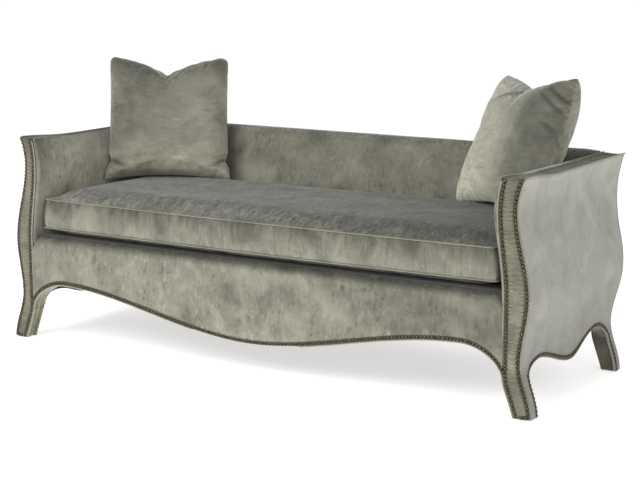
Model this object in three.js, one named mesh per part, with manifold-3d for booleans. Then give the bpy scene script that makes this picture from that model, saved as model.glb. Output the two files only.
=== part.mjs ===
// A recamier: a long bench sofa covered all over in velvet, with S-curved arms, legs that run
// down out of the stiles, a wavy apron edged with nail heads, one long seat cushion and two
// loose pillows. Millimetres, +Z up, +X to the viewer's right, -Y is the front.
// The pieces are laid out from the front plane (y = 0), and the finished sofa is then
// moved so that the middle of its box is over the origin.
import * as THREE from "three";
import { mergeVertices } from "three/addons/utils/BufferGeometryUtils.js";
import Module from "manifold-3d";

const wasm = await Module();
wasm.setup();

// Overall sizes
const overallWidth = 2124;
const armHeight = 762;
const rearLegReach = 765; // front plane to the back of the rear legs
const fit = 0.3; // air left between two pieces that touch
const overrun = 60; // how far a cutting shape runs past what it cuts
const halfWidth = overallWidth / 2;

// The S-curve of the sides: heights, and how far the face lies inside the foot's outer face
const bellyHeight = 380;
const waistDrop = 102; // from the arm's top down to the narrowest place
const waistHeight = armHeight - waistDrop;
const ankleHeight = 178;
const ankleInset = 41.5;
const bellyInset = 17.5;
const waistInset = 65;
const topInset = 42;

// The stile's inner edge, measured in from the foot's outer face in the same way
const kneeHeight = 120;
const innerKneeInset = 99.7;
const innerWaistInset = 126.5;
const innerTopInset = 112;
const footWidth = 56;
const curveSteps = 28; // flats that the S-curve is drawn with

// The stile faces: their inner edge stands ahead of the front plane more than the outer one
const stileOuterProud = 5;
const stileInnerProudTop = 23;
const stileInnerProudFoot = 10;
const coverWall = 6; // fabric and the thin padding under it
const legWall = 5;
const panelWall = 9;
const hemHeight = 3; // the covers stop this far above the floor
const legDepth = 45; // front plane to the back of the front legs, and the rear legs' depth

// The back's outer face, as distances behind the rear legs' back
const rearBellyOut = 39;
const rearShoulderOut = 89;
const rearTopOut = 77;
const rearAnkleHeight = 160;
const rearBellyLow = 340;
const rearBellyRise = 150;
const rearShoulderDrop = 52; // from the arm's top down to the furthest place
const backWall = 8;
const rearBellyReach = rearLegReach + rearBellyOut;
const rearShoulderReach = rearLegReach + rearShoulderOut;
const rearTopReach = rearLegReach + rearTopOut;
const rearBellyHigh = rearBellyLow + rearBellyRise;
const rearShoulderHeight = armHeight - rearShoulderDrop;

// Nail rows and welts
const nailInset = 9; // from an edge to the middle of its nail row
const nailHalf = 5.5;
const nailDome = 4;
const nailLift = 0.5;
const nailLiftCurved = 0.9;
const weltSlot = 6;
const weltRadius = 2.6;
const weltSides = 6;

// The wavy lower edges: the apron, the sides and the back share one kind of line
const archShoulder = 1.8; // the exponent that rounds an arch into its leg
const springHeight = 122;
const apronPeakIn = 247; // from the sofa's end to the top of the apron's arch
const apronPeakHeight = 232;
const apronDipHeight = 119;
const apronFront = 14;
const sideLegLine = 37;
const sidePeakFront = 140;
const sidePeakFrontHeight = 177;
const sideDipHeight = 126;
const sidePeakRearIn = 145; // from the rear legs' back
const sidePeakRearHeight = 184;
const rearEdgeDrop = 30; // how much lower the arches of the back are than the apron's
const easeSteps = 10;
const roundSteps = 7;

// Seat deck and wooden frame
const deckHeight = 398;
const deckBuild = 33; // webbing, padding and cover over the rails
const edgeRollDepth = 110;
const edgeRollRadius = 30;
const railTop = deckHeight - deckBuild;
const frontRailWall = 32;
const rearRailWall = 30;
const sideRailWall = 27;
const sideRailInset = 51;
const railClear = 12; // the rails' edges stay this far above the nail rows
const postDepth = 40;
const rearPostDepth = 30;
const topRailHeight = 46;
const topRailWall = 36;
const stretcherWall = 40;
const stretcherHeight = 40;
const blockLeg = 80;
const webWall = 2;
const webWidth = 50;
const strapsAcross = 7;
const strapsAlong = 3;
const dustCoverHeight = apronPeakHeight + railClear;
const glideRadius = 11;
const glideHeight = 4;
const glideSides = 12;

// Arms and back
const armPadProud = 12; // the inside arm stands in from the stile's inner edge
const armPadRound = 8;
const capSteps = 16;
const capFlapDepth = 33; // how far the arm's top piece could turn down before it is trimmed
const capSag = 11;
const capSagOffset = 250;
const capTail = 4; // the arm's top is this much lower at the back than at the front
const backFaceInset = 43; // from the rear legs' back forward to the foot of the back's face
const backLean = 30;
const backPadWall = 35;
const backBend = 132; // the face leans from this far above the deck
const backTopRise = 4; // over the arms
const backTopRoll = 31;
const backFaceLow = rearLegReach - backFaceInset;
const backFaceHigh = backFaceLow + backLean;
const backBendHeight = deckHeight + backBend;
const backTopHeight = armHeight + backTopRise;
const backRollHeight = backTopHeight - backTopRoll;
const uprightDepth = 28;
const uprightOffset = 360;
const uprightWall = 45;

// Seat cushion
const cushionClear = 9; // to the arms and to the back
const cushionFront = 10;
const cushionBow = 18; // the front edge swells forward this much at its middle
const cushionCorner = 10;
const weltLift = 27; // the lower welt over the deck
const boxingHeight = 109;
const cushionCrown = 42;
const crownReach = 130; // how far in from the welt the crown keeps rising
const crownSteps = 4;
const boxingSwell = 4;
const cushionWeltRadius = 3;
const cushionSpans = 12; // flats along the front and along the back
const cushionSideSpans = 4;
const cornerSpans = 3;

// Pillows
const pillowWidth = 474;
const pillowHeight = 488;
const pillowFrontDepth = 95;
const pillowBackDepth = 80;
const pillowFullness = 0.55; // an exponent: a smaller one keeps it fuller near the edges
const pillowSideInset = 9; // how far the side edges curve in between the corners
const pillowLiftHeight = 20; // how far the middle of the lower edge is drawn up
const pillowNotchDepth = 64; // depth of the chop in the middle of the upper edge
const pillowNotchSpread = 2.2; // an exponent: a larger one makes the chop narrower
const pillowFold = 0.45; // share of the thickness that the chop presses away
const pillowEarInset = 8; // each side is this much narrower at the top
const pillowFade = 4; // an exponent: how soon the chop and the lift die away
const pillowCells = 16;

// Where each pillow's lower edge stands: in from the cushion's end, ahead of its back and
// down in its crown, and the pillow's turn, lean and roll in degrees
const leftPillowInset = 207;
const leftPillowSetback = 207;
const leftPillowDrop = 8.9;
const leftPillowTurn = 37;
const leftPillowLean = 17;
const leftPillowRoll = 1;
const rightPillowInset = 238;
const rightPillowSetback = 205;
const rightPillowDrop = 0.3;
const rightPillowTurn = -34;
const rightPillowLean = 24;
const rightPillowRoll = -2.5;

const weldDistance = 1e-4;
const lerp = THREE.MathUtils.lerp;
const ease = (t) => t * t * (3 - 2 * t);
const share = (value, low, high) => THREE.MathUtils.clamp((value - low) / (high - low), 0, 1);

// A curve drawn with flats, so that every piece that follows it has the same facets
function faceted(curve) {
  const rung = armHeight / curveSteps;
  return (z) => {
    const low = Math.min(Math.floor(z / rung), curveSteps - 1);
    return lerp(curve(low * rung), curve((low + 1) * rung), z / rung - low);
  };
}

// Heights of the flats' corners between two heights, with both ends
function rungs(from, to) {
  const inner = [];
  for (let i = 0; i <= curveSteps; i += 1) {
    const z = (armHeight * i) / curveSteps;
    if (z > from + fit && z < to - fit) inner.push(z);
  }
  return [from, ...inner, to];
}

// Outer face of the sides
const sideFace = faceted((z) => {
  if (z > waistHeight) {
    const t = share(z, waistHeight, armHeight);
    return halfWidth - lerp(waistInset, topInset, t * t);
  }
  if (z > bellyHeight) {
    return halfWidth - lerp(bellyInset, waistInset, ease(share(z, bellyHeight, waistHeight)));
  }
  if (z > ankleHeight) {
    return halfWidth - lerp(ankleInset, bellyInset, ease(share(z, ankleHeight, bellyHeight)));
  }
  return halfWidth - ankleInset * ease(z / ankleHeight);
});

// Inner edge of the stiles, which runs on down the inside of the legs
const stileEdge = faceted((z) => {
  if (z > waistHeight) {
    const t = share(z, waistHeight, armHeight);
    return halfWidth - lerp(innerWaistInset, innerTopInset, t * t);
  }
  if (z > bellyHeight) {
    const t = ease(share(z, bellyHeight, waistHeight));
    return halfWidth - lerp(innerKneeInset, innerWaistInset, t);
  }
  return halfWidth - lerp(footWidth, innerKneeInset, share(z, 0, kneeHeight));
});

const armFace = (z) => stileEdge(z) - armPadProud;
const stileInnerProud = (z) => lerp(stileInnerProudFoot, stileInnerProudTop, z / armHeight);

// Outer face of the back
const rearFace = faceted((z) => {
  if (z > rearShoulderHeight) {
    const t = share(z, rearShoulderHeight, armHeight);
    return lerp(rearShoulderReach, rearTopReach, t * t);
  }
  if (z > rearBellyHigh) {
    const t = ease(share(z, rearBellyHigh, rearShoulderHeight));
    return lerp(rearBellyReach, rearShoulderReach, t);
  }
  return lerp(rearLegReach, rearBellyReach, ease(share(z, rearAnkleHeight, rearBellyLow)));
});

// Front surface of the stiles, which is canted: x runs from the inner edge to the outer one
function stileFront(x, z) {
  return lerp(-stileInnerProud(z), -stileOuterProud, share(x, stileEdge(z), sideFace(z)));
}

// Top line of the arms, which dips behind the front corner and rises again
function capTop(y) {
  const dip = armHeight - capSag;
  if (y < capSagOffset) return lerp(armHeight, dip, ease(share(y, 0, capSagOffset)));
  return lerp(dip, armHeight - capTail, ease(share(y, capSagOffset, rearTopReach)));
}

function toSolid(geometry) {
  const bare = geometry.clone();
  bare.deleteAttribute("normal");
  bare.deleteAttribute("uv");
  const merged = mergeVertices(bare, weldDistance);
  return new wasm.Manifold(new wasm.Mesh({
    numProp: 3,
    vertProperties: new Float32Array(merged.attributes.position.array),
    triVerts: new Uint32Array(merged.index.array),
  }));
}

function toGeometry(solid) {
  const mesh = solid.getMesh();
  const geometry = new THREE.BufferGeometry();
  geometry.setAttribute("position", new THREE.BufferAttribute(mesh.vertProperties, 3));
  geometry.setIndex(new THREE.BufferAttribute(mesh.triVerts, 1));
  return geometry;
}

const cut = (geometry, ...cutters) =>
  toGeometry(cutters.reduce((left, cutter) => left.subtract(toSolid(cutter)), toSolid(geometry)));
const keep = (geometry, ...limits) =>
  toGeometry(limits.reduce((left, limit) => left.intersect(toSolid(limit)), toSolid(geometry)));
const join = (first, ...others) =>
  toGeometry(others.reduce((sum, other) => sum.add(toSolid(other)), toSolid(first)));

// The same shape on the other side of the sofa
function mirrored(geometry) {
  const copy = geometry.index ? geometry.clone() : mergeVertices(geometry.clone());
  copy.scale(-1, 1, 1);
  const index = copy.index.array;
  for (let i = 0; i < index.length; i += 3) [index[i], index[i + 1]] = [index[i + 1], index[i]];
  return copy;
}

const axisX = new THREE.Vector3(1, 0, 0);
const axisY = new THREE.Vector3(0, 1, 0);
const axisZ = new THREE.Vector3(0, 0, 1);
const forward = [0, -1, 0];

// An outline pushed straight along one axis: [y, z] points along X, [x, z] points along Y,
// [x, y] points along Z
function pushed(points, depth) {
  const shape = new THREE.Shape(points.map(([a, b]) => new THREE.Vector2(a, b)));
  return new THREE.ExtrudeGeometry(shape, { depth, bevelEnabled: false });
}

function alongX(points, from, to) {
  const turn = new THREE.Matrix4().makeBasis(axisY, axisZ, axisX);
  return pushed(points, to - from).applyMatrix4(turn).translate(from, 0, 0);
}

function alongY(points, from, to) {
  const turn = new THREE.Matrix4().makeBasis(axisX, axisZ, axisY.clone().negate());
  return pushed(points, to - from).applyMatrix4(turn).translate(0, to, 0);
}

const alongZ = (points, from, to) => pushed(points, to - from).translate(0, 0, from);

function block(x0, x1, y0, y1, z0, z1) {
  const box = new THREE.BoxGeometry(x1 - x0, y1 - y0, z1 - z0);
  return box.translate((x0 + x1) / 2, (y0 + y1) / 2, (z0 + z1) / 2);
}

// Triangles that close an outline, turning the way that the outline does
function capOf(ring) {
  const points = ring.map((p) => new THREE.Vector3(...p));
  const normal = new THREE.Vector3();
  points.forEach((p, i) => {
    normal.add(new THREE.Vector3().crossVectors(p, points[(i + 1) % points.length]));
  });
  const turn = new THREE.Quaternion().setFromUnitVectors(normal.normalize(), axisZ);
  const flat = points.map((p) => new THREE.Vector2().copy(p.applyQuaternion(turn)));
  return THREE.ShapeUtils.triangulateShape(flat, []);
}

// Turns a closed body's triangles round where they face inwards
function facingOut(geometry) {
  const corners = geometry.attributes.position;
  const index = geometry.index.array;
  const [a, b, c] = [new THREE.Vector3(), new THREE.Vector3(), new THREE.Vector3()];
  let volume = 0;
  for (let i = 0; i < index.length; i += 3) {
    [a, b, c].forEach((corner, k) => corner.fromBufferAttribute(corners, index[i + k]));
    volume += a.dot(b.cross(c));
  }
  if (volume < 0) geometry.setIndex(Array.from(index).reverse());
  return geometry;
}

// A closed body through a stack of outlines that all have as many points. `looped` joins
// the last outline to the first one in place of the two caps.
function loft(rings, looped = false) {
  const count = rings[0].length;
  const last = (rings.length - 1) * count;
  const index = [];
  rings.forEach((ring, r) => {
    if (r === rings.length - 1 && !looped) return;
    const next = (r + 1) % rings.length;
    for (let i = 0; i < count; i += 1) {
      const j = (i + 1) % count;
      const [a, b, c, d] = [r * count + i, r * count + j, next * count + j, next * count + i];
      index.push(a, b, c, a, c, d);
    }
  });
  if (!looped) {
    for (const [a, b, c] of capOf(rings[0])) index.push(a, c, b);
    for (const [a, b, c] of capOf(rings.at(-1))) index.push(last + a, last + b, last + c);
  }
  const geometry = new THREE.BufferGeometry();
  geometry.setAttribute("position", new THREE.Float32BufferAttribute(rings.flat(2), 3));
  geometry.setIndex(index);
  return facingOut(geometry);
}

// Outlines at the heights of the flats, pushed into a loft
const stack = (from, to, outline) =>
  loft(rungs(from, to).map((z) => outline(z).map(([x, y]) => [x, y, z])));

// A closed body that follows points. Each station has the direction that faces out of the
// cover, and the section's corners are [across, out] distances.
function follow(stations, corners) {
  return loft(stations.map(({ at, out }, i) => {
    const before = new THREE.Vector3(...stations[Math.max(i - 1, 0)].at);
    const after = new THREE.Vector3(...stations[Math.min(i + 1, stations.length - 1)].at);
    const run = after.sub(before).normalize();
    const across = new THREE.Vector3().crossVectors(run, new THREE.Vector3(...out)).normalize();
    const face = new THREE.Vector3().crossVectors(across, run);
    const spot = new THREE.Vector3(...at);
    return corners.map(([a, b]) =>
      spot.clone().addScaledVector(across, a).addScaledVector(face, b).toArray());
  }));
}

const roundSection = [];
for (let i = 0; i < weltSides; i += 1) {
  const angle = (2 * Math.PI * (i + 0.5)) / weltSides;
  roundSection.push([Math.cos(angle), Math.sin(angle)]);
}

// A welt is a thin round cord, and a nail row is a low ridge
const welt = (points, out) => follow(
  points.map((at) => ({ at, out })),
  roundSection.map(([a, b]) => [a * weltRadius, b * weltRadius]),
);
const nailRow = (stations) => follow(stations, [[nailHalf, 0], [0, nailDome], [-nailHalf, 0]]);

// Half of a wavy edge: up from the leg, over the arch, and down to the dip. Places run along
// the edge, and give [place, height] pairs. `lower` moves the whole line down.
function wavyEdge({ leg, peak, dip, peakHeight, dipHeight, lower = 0, outward = 0 }) {
  const points = [];
  const base = springHeight;
  const rise = peakHeight - lower - base;
  for (let i = 0; i < roundSteps; i += 1) {
    const angle = (Math.PI / 2) * (i / roundSteps);
    const reach = Math.cos(angle) ** (2 / archShoulder);
    const height = Math.sin(angle) ** (2 / archShoulder);
    points.push([peak + (leg + outward - peak) * reach, base + rise * height]);
  }
  for (let i = 0; i <= easeSteps; i += 1) {
    const t = i / easeSteps;
    points.push([lerp(peak, dip, t), lerp(peakHeight, dipHeight, ease(t)) - lower]);
  }
  return points;
}

// The apron's edge from the right leg to the left one
function apronEdge(lower, outward, drop = 0) {
  const half = wavyEdge({
    leg: stileEdge(springHeight) + nailInset,
    peak: halfWidth - apronPeakIn,
    dip: 0,
    peakHeight: apronPeakHeight - drop,
    dipHeight: apronDipHeight,
    lower,
    outward,
  });
  return [...half, ...half.slice(0, -1).reverse().map(([x, z]) => [-x, z])];
}

// The side's edge from the front leg to the rear one
const sidePeakRear = rearLegReach - sidePeakRearIn;
function sideEdge(lower, outward) {
  const front = wavyEdge({
    leg: sideLegLine,
    peak: sidePeakFront,
    dip: (sidePeakFront + sidePeakRear) / 2,
    peakHeight: sidePeakFrontHeight,
    dipHeight: sideDipHeight,
    lower,
    outward,
  });
  const rear = wavyEdge({
    leg: rearLegReach - legDepth + nailInset,
    peak: sidePeakRear,
    dip: (sidePeakFront + sidePeakRear) / 2,
    peakHeight: sidePeakRearHeight,
    dipHeight: sideDipHeight,
    lower,
    outward: -outward,
  });
  return [...front, ...rear.slice(0, -1).reverse()];
}

// The open space under a wavy edge, closed below the floor
const underEdge = (points) => [
  [points[0][0], -overrun],
  ...points,
  [points.at(-1)[0], -overrun],
];

// Where the arms' top line is drawn with flats, with both ends
function capSpots(from, to) {
  const inner = [];
  for (let i = 1; i < capSteps; i += 1) inner.push((rearTopReach * i) / capSteps);
  return [from, ...inner, to];
}

// What lies over the arms' caps, or over a line that far below their top
function overArms(below) {
  const points = capSpots(0, rearTopReach).map((y) => [y, capTop(y) - below]);
  const [first, last] = [points[0], points.at(-1)];
  const outline = [[-overrun, first[1]], ...points, [rearShoulderReach + overrun, last[1]]];
  const high = armHeight + overrun;
  outline.push([rearShoulderReach + overrun, high], [-overrun, high]);
  return alongX(outline, 0, halfWidth + overrun);
}

// A space bounded by the back's outer face, moved forward by `inside`
function insideRear(inside, from, to) {
  const points = rungs(-fit, armHeight + fit).map((z) => [rearFace(Math.max(z, 0)) - inside, z]);
  return alongX([[-overrun, -fit], ...points, [-overrun, armHeight + fit]], from, to);
}

// A space that reaches from the middle to the sides' outer face, less `inside`
function betweenSides(face, inside, low, high) {
  const right = rungs(low, high).map((z) => [face(z) - inside, z]);
  const left = right.map(([x, z]) => [-x, z]).reverse();
  return alongY([...right, ...left], -overrun, rearShoulderReach + overrun);
}

const velvet = { color: 0x98967f, roughness: 0.85, metalness: 0 };
const paleVelvet = { color: 0xa8a896, roughness: 0.8, metalness: 0 };
const seatVelvet = { color: 0x6f7069, roughness: 0.85, metalness: 0 };
const pillowVelvet = { color: 0x87856f, roughness: 0.85, metalness: 0 };
const bronze = { color: 0x4d4738, roughness: 0.4, metalness: 0.9 };
const beech = { color: 0xc2a070, roughness: 0.6, metalness: 0 };
const wadding = { color: 0xe6e2d6, roughness: 0.95, metalness: 0 };
const jute = { color: 0xa28a5c, roughness: 0.9, metalness: 0 };
const blackCloth = { color: 0x22221f, roughness: 0.95, metalness: 0 };
const nylon = { color: 0x2b2b2b, roughness: 0.5, metalness: 0 };

const sofa = new THREE.Group();

function add(name, geometry, look, parent = sofa) {
  const mesh = new THREE.Mesh(geometry, new THREE.MeshStandardMaterial(look));
  mesh.name = name;
  parent.add(mesh);
  return mesh;
}

function addPair(name, geometry, look) {
  add(`${name}_right`, geometry, look);
  add(`${name}_left`, mirrored(geometry), look);
}

// Wooden frame
const postFoot = glideHeight + fit;
const postTop = armHeight - capSag - weltSlot - 2 * fit;
const postIn = (z) => stileEdge(z) + legWall + fit;
const postOut = (z) => sideFace(z) - panelWall - fit;
const postFront = (x, z) => stileFront(x, z) + coverWall + fit;

addPair("front_post", stack(postFoot, postTop, (z) => [
  [postIn(z), postFront(postIn(z), z)],
  [postOut(z), coverWall - stileOuterProud + fit],
  [postOut(z), postDepth],
  [postIn(z), postDepth],
]), beech);

const rearPostBack = (z) => rearFace(z) - backWall - fit;
addPair("rear_post", stack(postFoot, postTop, (z) => [
  [postIn(z), rearPostBack(z) - rearPostDepth],
  [postOut(z), rearPostBack(z) - rearPostDepth],
  [postOut(z), rearPostBack(z)],
  [postIn(z), rearPostBack(z)],
]), beech);

const railEnd = postIn(bellyHeight) - fit;
const frontRailFace = coverWall - stileInnerProud(springHeight) + fit;
const frontRailBack = frontRailFace + frontRailWall;
const rearRailBack = rearLegReach - backWall - fit;
const rearRailFace = rearRailBack - rearRailWall;
const sideRailOut = halfWidth - sideRailInset;
const sideRailIn = sideRailOut - sideRailWall;
const seatBoard = block(-railEnd, railEnd, frontRailFace, frontRailBack, springHeight, railTop);
add("front_seat_rail", cut(
  seatBoard,
  alongY(underEdge(apronEdge(-railClear, 0)), -overrun, overrun),
), beech);
add("rear_seat_rail", cut(
  block(-railEnd, railEnd, rearRailFace, rearRailBack, springHeight, railTop),
  alongY(underEdge(apronEdge(-railClear, 0, rearEdgeDrop)), rearRailFace - overrun,
    rearRailBack + overrun),
), beech);
addPair("side_seat_rail", cut(
  block(sideRailIn, sideRailOut, postDepth + fit, rearRailFace - fit, springHeight, railTop),
  alongX(underEdge(sideEdge(-railClear, 0)), 0, halfWidth),
), beech);

const blockIn = sideRailIn - fit;
const blockFront = frontRailBack + fit;
const blockRear = rearRailFace - fit;
const blockLow = dustCoverHeight + fit;
const postSide = postIn(blockLow) - fit;
addPair("corner_block_front", alongZ([
  [postSide - blockLeg, blockFront],
  [postSide, blockFront],
  [postSide, postDepth + fit],
  [blockIn, postDepth + fit],
  [blockIn, blockFront + blockLeg],
], blockLow, railTop - fit), beech);
addPair("corner_block_rear", alongZ([
  [blockIn - blockLeg, blockRear],
  [blockIn, blockRear - blockLeg],
  [blockIn, blockRear],
], blockLow, railTop - fit), beech);
add("centre_stretcher", block(
  -stretcherWall / 2, stretcherWall / 2,
  frontRailBack + fit, rearRailFace - fit, railTop - stretcherHeight, railTop - fit,
), beech);

const armRailIn = stileEdge(armHeight);
addPair("arm_top_rail", block(
  armRailIn, armRailIn + topRailWall, postDepth + fit,
  rearPostBack(rearBellyHigh) - rearPostDepth, postTop - topRailHeight, postTop,
), beech);

// Seat support and deck
const webLow = railTop + fit;
const straps = [];
for (let i = 0; i < strapsAcross; i += 1) {
  const x = lerp(-1, 1, (i + 0.5) / strapsAcross) * (railEnd - webWidth / 2);
  straps.push(block(x - webWidth / 2, x + webWidth / 2, frontRailFace + fit,
    rearRailBack - fit, webLow, webLow + webWall));
}
for (let i = 0; i < strapsAlong; i += 1) {
  const y = lerp(frontRailBack, rearRailFace, (i + 0.5) / strapsAlong);
  straps.push(block(-sideRailOut, sideRailOut, y - webWidth / 2, y + webWidth / 2,
    webLow, webLow + webWall));
}
add("seat_webbing", join(...straps), jute);

const deckLow = webLow + webWall + fit;
const deckHalf = stileEdge(bellyHeight) - 2 * fit;
add("deck_pad", block(-deckHalf, deckHalf, edgeRollDepth + fit, backFaceLow - fit,
  deckLow, deckHeight), wadding);

const rollTop = deckHeight - coverWall - fit;
const rollFront = frontRailFace;
const rollArc = [];
for (let i = 0; i <= roundSteps; i += 1) {
  const angle = (Math.PI / 2) * (i / roundSteps);
  rollArc.push([Math.cos(angle), Math.sin(angle)]);
}
const rollRadius = edgeRollRadius - coverWall - fit;
add("edge_roll", alongX([
  [edgeRollDepth, deckLow],
  [edgeRollDepth, rollTop],
  ...rollArc.map(([c, s]) => [
    rollFront + rollRadius * (1 - c),
    rollTop - rollRadius * (1 - s),
  ]).reverse(),
  [rollFront, deckLow],
], -deckHalf, deckHalf), wadding);

add("dust_cover", block(
  -postSide, postSide, frontRailBack + fit, rearRailFace - fit,
  dustCoverHeight - webWall, dustCoverHeight,
), blackCloth);

// Covers
const apronEnd = stileEdge(bellyHeight) - fit;
const apronSkin = alongX([
  [edgeRollDepth, rollTop + fit],
  [edgeRollDepth, deckHeight],
  ...rollArc.map(([c, s]) => [
    -apronFront + edgeRollRadius * (1 - c),
    deckHeight - edgeRollRadius * (1 - s),
  ]).reverse(),
  [-apronFront, 0],
  [coverWall - apronFront, 0],
  ...rollArc.map(([c, s]) => [
    coverWall - apronFront + (edgeRollRadius - coverWall) * (1 - c),
    deckHeight - coverWall - (edgeRollRadius - coverWall) * (1 - s),
  ]),
], -apronEnd, apronEnd);
const apronHem = nailInset - weltSlot + fit;
add("front_apron", cut(
  apronSkin,
  alongY(underEdge(apronEdge(apronHem, -apronHem)), -overrun, 0),
), velvet);
const apronWeltDrop = apronHem + weltSlot / 2 + fit;
add("apron_welt", welt(
  apronEdge(apronWeltDrop, -apronWeltDrop)
    .filter(([x]) => Math.abs(x) < apronEnd - weltSlot / 2)
    .map(([x, z]) => [x, coverWall / 2 - apronFront, z]),
  forward,
), paleVelvet);

const underCap = overArms(weltSlot + fit);
addPair("stile_cover", cut(
  stack(hemHeight, armHeight, (z) => {
    const outer = sideFace(z) - weltSlot - fit;
    return [
      [stileEdge(z), stileFront(stileEdge(z), z)],
      [outer, stileFront(outer, z)],
      [outer, stileFront(outer, z) + coverWall],
      [stileEdge(z), stileFront(stileEdge(z), z) + coverWall],
    ];
  }),
  underCap,
), velvet);

const panelFront = coverWall - stileOuterProud + fit;
const panelOutline = (wall) => [
  ...rungs(hemHeight, armHeight).map((z) => [sideFace(z), z]),
  ...rungs(hemHeight, armHeight).reverse().map((z) => [sideFace(z) - wall, z]),
];
addPair("side_panel", cut(
  keep(
    alongY(panelOutline(panelWall), panelFront, rearShoulderReach),
    insideRear(backWall + fit, 0, halfWidth + overrun),
  ),
  alongX(underEdge(sideEdge(nailInset, nailInset)), 0, halfWidth + overrun),
  underCap,
), paleVelvet);

const legCoverTop = springHeight - fit;
const coverBack = (z) => postFront(stileEdge(z), z);
addPair("front_leg_cover", stack(hemHeight, legCoverTop, (z) => [
  [stileEdge(z), coverBack(z)],
  [stileEdge(z) + legWall, coverBack(z) + fit],
  [stileEdge(z) + legWall, postDepth + fit],
  [postOut(z), postDepth + fit],
  [postOut(z), postDepth + fit + legWall],
  [stileEdge(z), postDepth + fit + legWall],
]), velvet);

const rearLegFace = rearLegReach - backWall - 2 * fit - rearPostDepth - legWall;
addPair("rear_leg_cover", stack(hemHeight, legCoverTop, (z) => [
  [stileEdge(z), rearLegFace],
  [postOut(z), rearLegFace],
  [postOut(z), rearLegFace + legWall],
  [stileEdge(z) + legWall, rearLegFace + legWall],
  [stileEdge(z) + legWall, rearLegReach - backWall - fit],
  [stileEdge(z), rearLegReach - backWall - fit],
]), velvet);

const armLow = deckHeight + fit;
addPair("inside_arm", cut(
  keep(
    stack(armLow, armHeight, (z) => {
      const front = stileFront(stileEdge(z), z) + coverWall;
      return [
        [armFace(z) + armPadRound, front],
        [stileEdge(z) - fit, front],
        [stileEdge(z) - fit, rearShoulderReach],
        [armFace(z), rearShoulderReach],
        [armFace(z), front + armPadRound],
        [armFace(z) + armPadRound / 3, front + armPadRound / 3],
      ];
    }),
    insideRear(backWall + fit, 0, halfWidth),
  ),
  underCap,
), velvet);

const capIn = armFace(armHeight) + weltSlot + fit;
const capOut = sideFace(armHeight) - weltSlot - fit;
const capPlan = [
  [capIn, -stileInnerProudTop],
  [capOut, -stileOuterProud],
  [capOut, rearTopReach],
  [capIn, rearTopReach],
];
addPair("arm_cap", cut(
  alongZ(capPlan, armHeight - capFlapDepth, armHeight),
  overArms(0),
  cut(block(0, halfWidth, -overrun, rearShoulderReach + overrun, 0, armHeight),
    overArms(weltSlot)),
), velvet);

// Welts of the stiles and the arms' tops
addPair("stile_welt", welt(
  rungs(hemHeight, armHeight - weltSlot - nailLiftCurved)
    .map((z) => [sideFace(z) - weltSlot / 2, weltSlot / 2 - stileOuterProud, z]),
  forward,
), paleVelvet);
const armWelt = (x, front, reach) => {
  const points = capSpots(front, reach).map((y) => [x, y, capTop(y) - weltSlot / 2]);
  return welt(points, axisZ.toArray());
};
addPair("arm_welt_outer", armWelt(
  sideFace(armHeight) - weltSlot / 2, -stileOuterProud, rearTopReach,
), paleVelvet);
addPair("arm_welt_inner", armWelt(
  armFace(armHeight) + weltSlot / 2, coverWall - stileInnerProudTop, rearTopReach,
), paleVelvet);

// Back
const backEnd = 2 * fit;
const backBack = backFaceLow + backPadWall;
const rollBack = backFaceHigh + backPadWall;
const backRear = rearTopReach + fit;
const backTopSink = backTopHeight - weltSlot;
const backHem = backTopHeight - 2 * weltSlot - 2 * fit;
const backFrontLine = [
  [backFaceLow, armLow],
  [backFaceLow, backBendHeight],
  [backFaceHigh, backRollHeight],
];
const backBackLine = backFrontLine.map(([y, z]) => [y + backPadWall, z]);
const crownArc = rollArc.slice(1).map(([c, s]) => [
  lerp(rollBack, backFaceHigh, c),
  lerp(backRollHeight, backTopHeight, s),
]);
add("inside_back", keep(
  alongX([
    ...backFrontLine,
    ...crownArc,
    [backRear - backPadWall, backTopHeight],
    [backRear - weltSlot, backTopSink],
    [backRear, backHem],
    [rollBack, backHem],
    ...backBackLine.reverse(),
  ], -halfWidth, halfWidth),
  betweenSides(armFace, backEnd, armLow - fit, armHeight + overrun),
), velvet);

const outsideTop = armHeight - capTail - weltSlot - 2 * fit;
const rearFaceSkin = [
  ...rungs(hemHeight, outsideTop).map((z) => [rearFace(z), z]),
  ...rungs(hemHeight, outsideTop).reverse().map((z) => [rearFace(z) - backWall, z]),
];
const rearLegLine = rungs(0, springHeight).slice(0, -1).map((z) => [stileEdge(z), z]);
const underRear = [
  [stileEdge(0), -overrun],
  ...rearLegLine,
  ...apronEdge(nailInset, -nailInset, rearEdgeDrop),
  ...rearLegLine.map(([x, z]) => [-x, z]).reverse(),
  [-stileEdge(0), -overrun],
];
add("outside_back", cut(
  keep(
    alongX(rearFaceSkin, -halfWidth, halfWidth),
    betweenSides(sideFace, fit, 0, armHeight),
  ),
  alongY(underRear, 0, rearShoulderReach + overrun),
), velvet);

const topRailFront = rollBack + weltSlot + fit;
const topRailBack = rearFace(postTop) - backWall - 2 * fit - backWall;
add("back_top_rail", block(-postSide + blockLeg, postSide - blockLeg, topRailFront,
  topRailBack, postTop - topRailHeight, postTop), beech);
const uprightTop = postTop - topRailHeight - fit;
addPair("back_upright", alongX([
  [rearRailFace, webLow],
  [rearRailBack, webLow],
  [backBack + webWall + 2 * fit + uprightDepth, armLow],
  [backBack + webWall + 2 * fit + uprightDepth, backBendHeight],
  [topRailBack, uprightTop],
  [topRailFront, uprightTop],
  [backBack + webWall + 2 * fit, backBendHeight],
  [backBack + webWall + 2 * fit, armLow],
  [rearRailFace, armLow - fit],
], uprightOffset - uprightWall / 2, uprightOffset + uprightWall / 2), beech);

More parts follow.
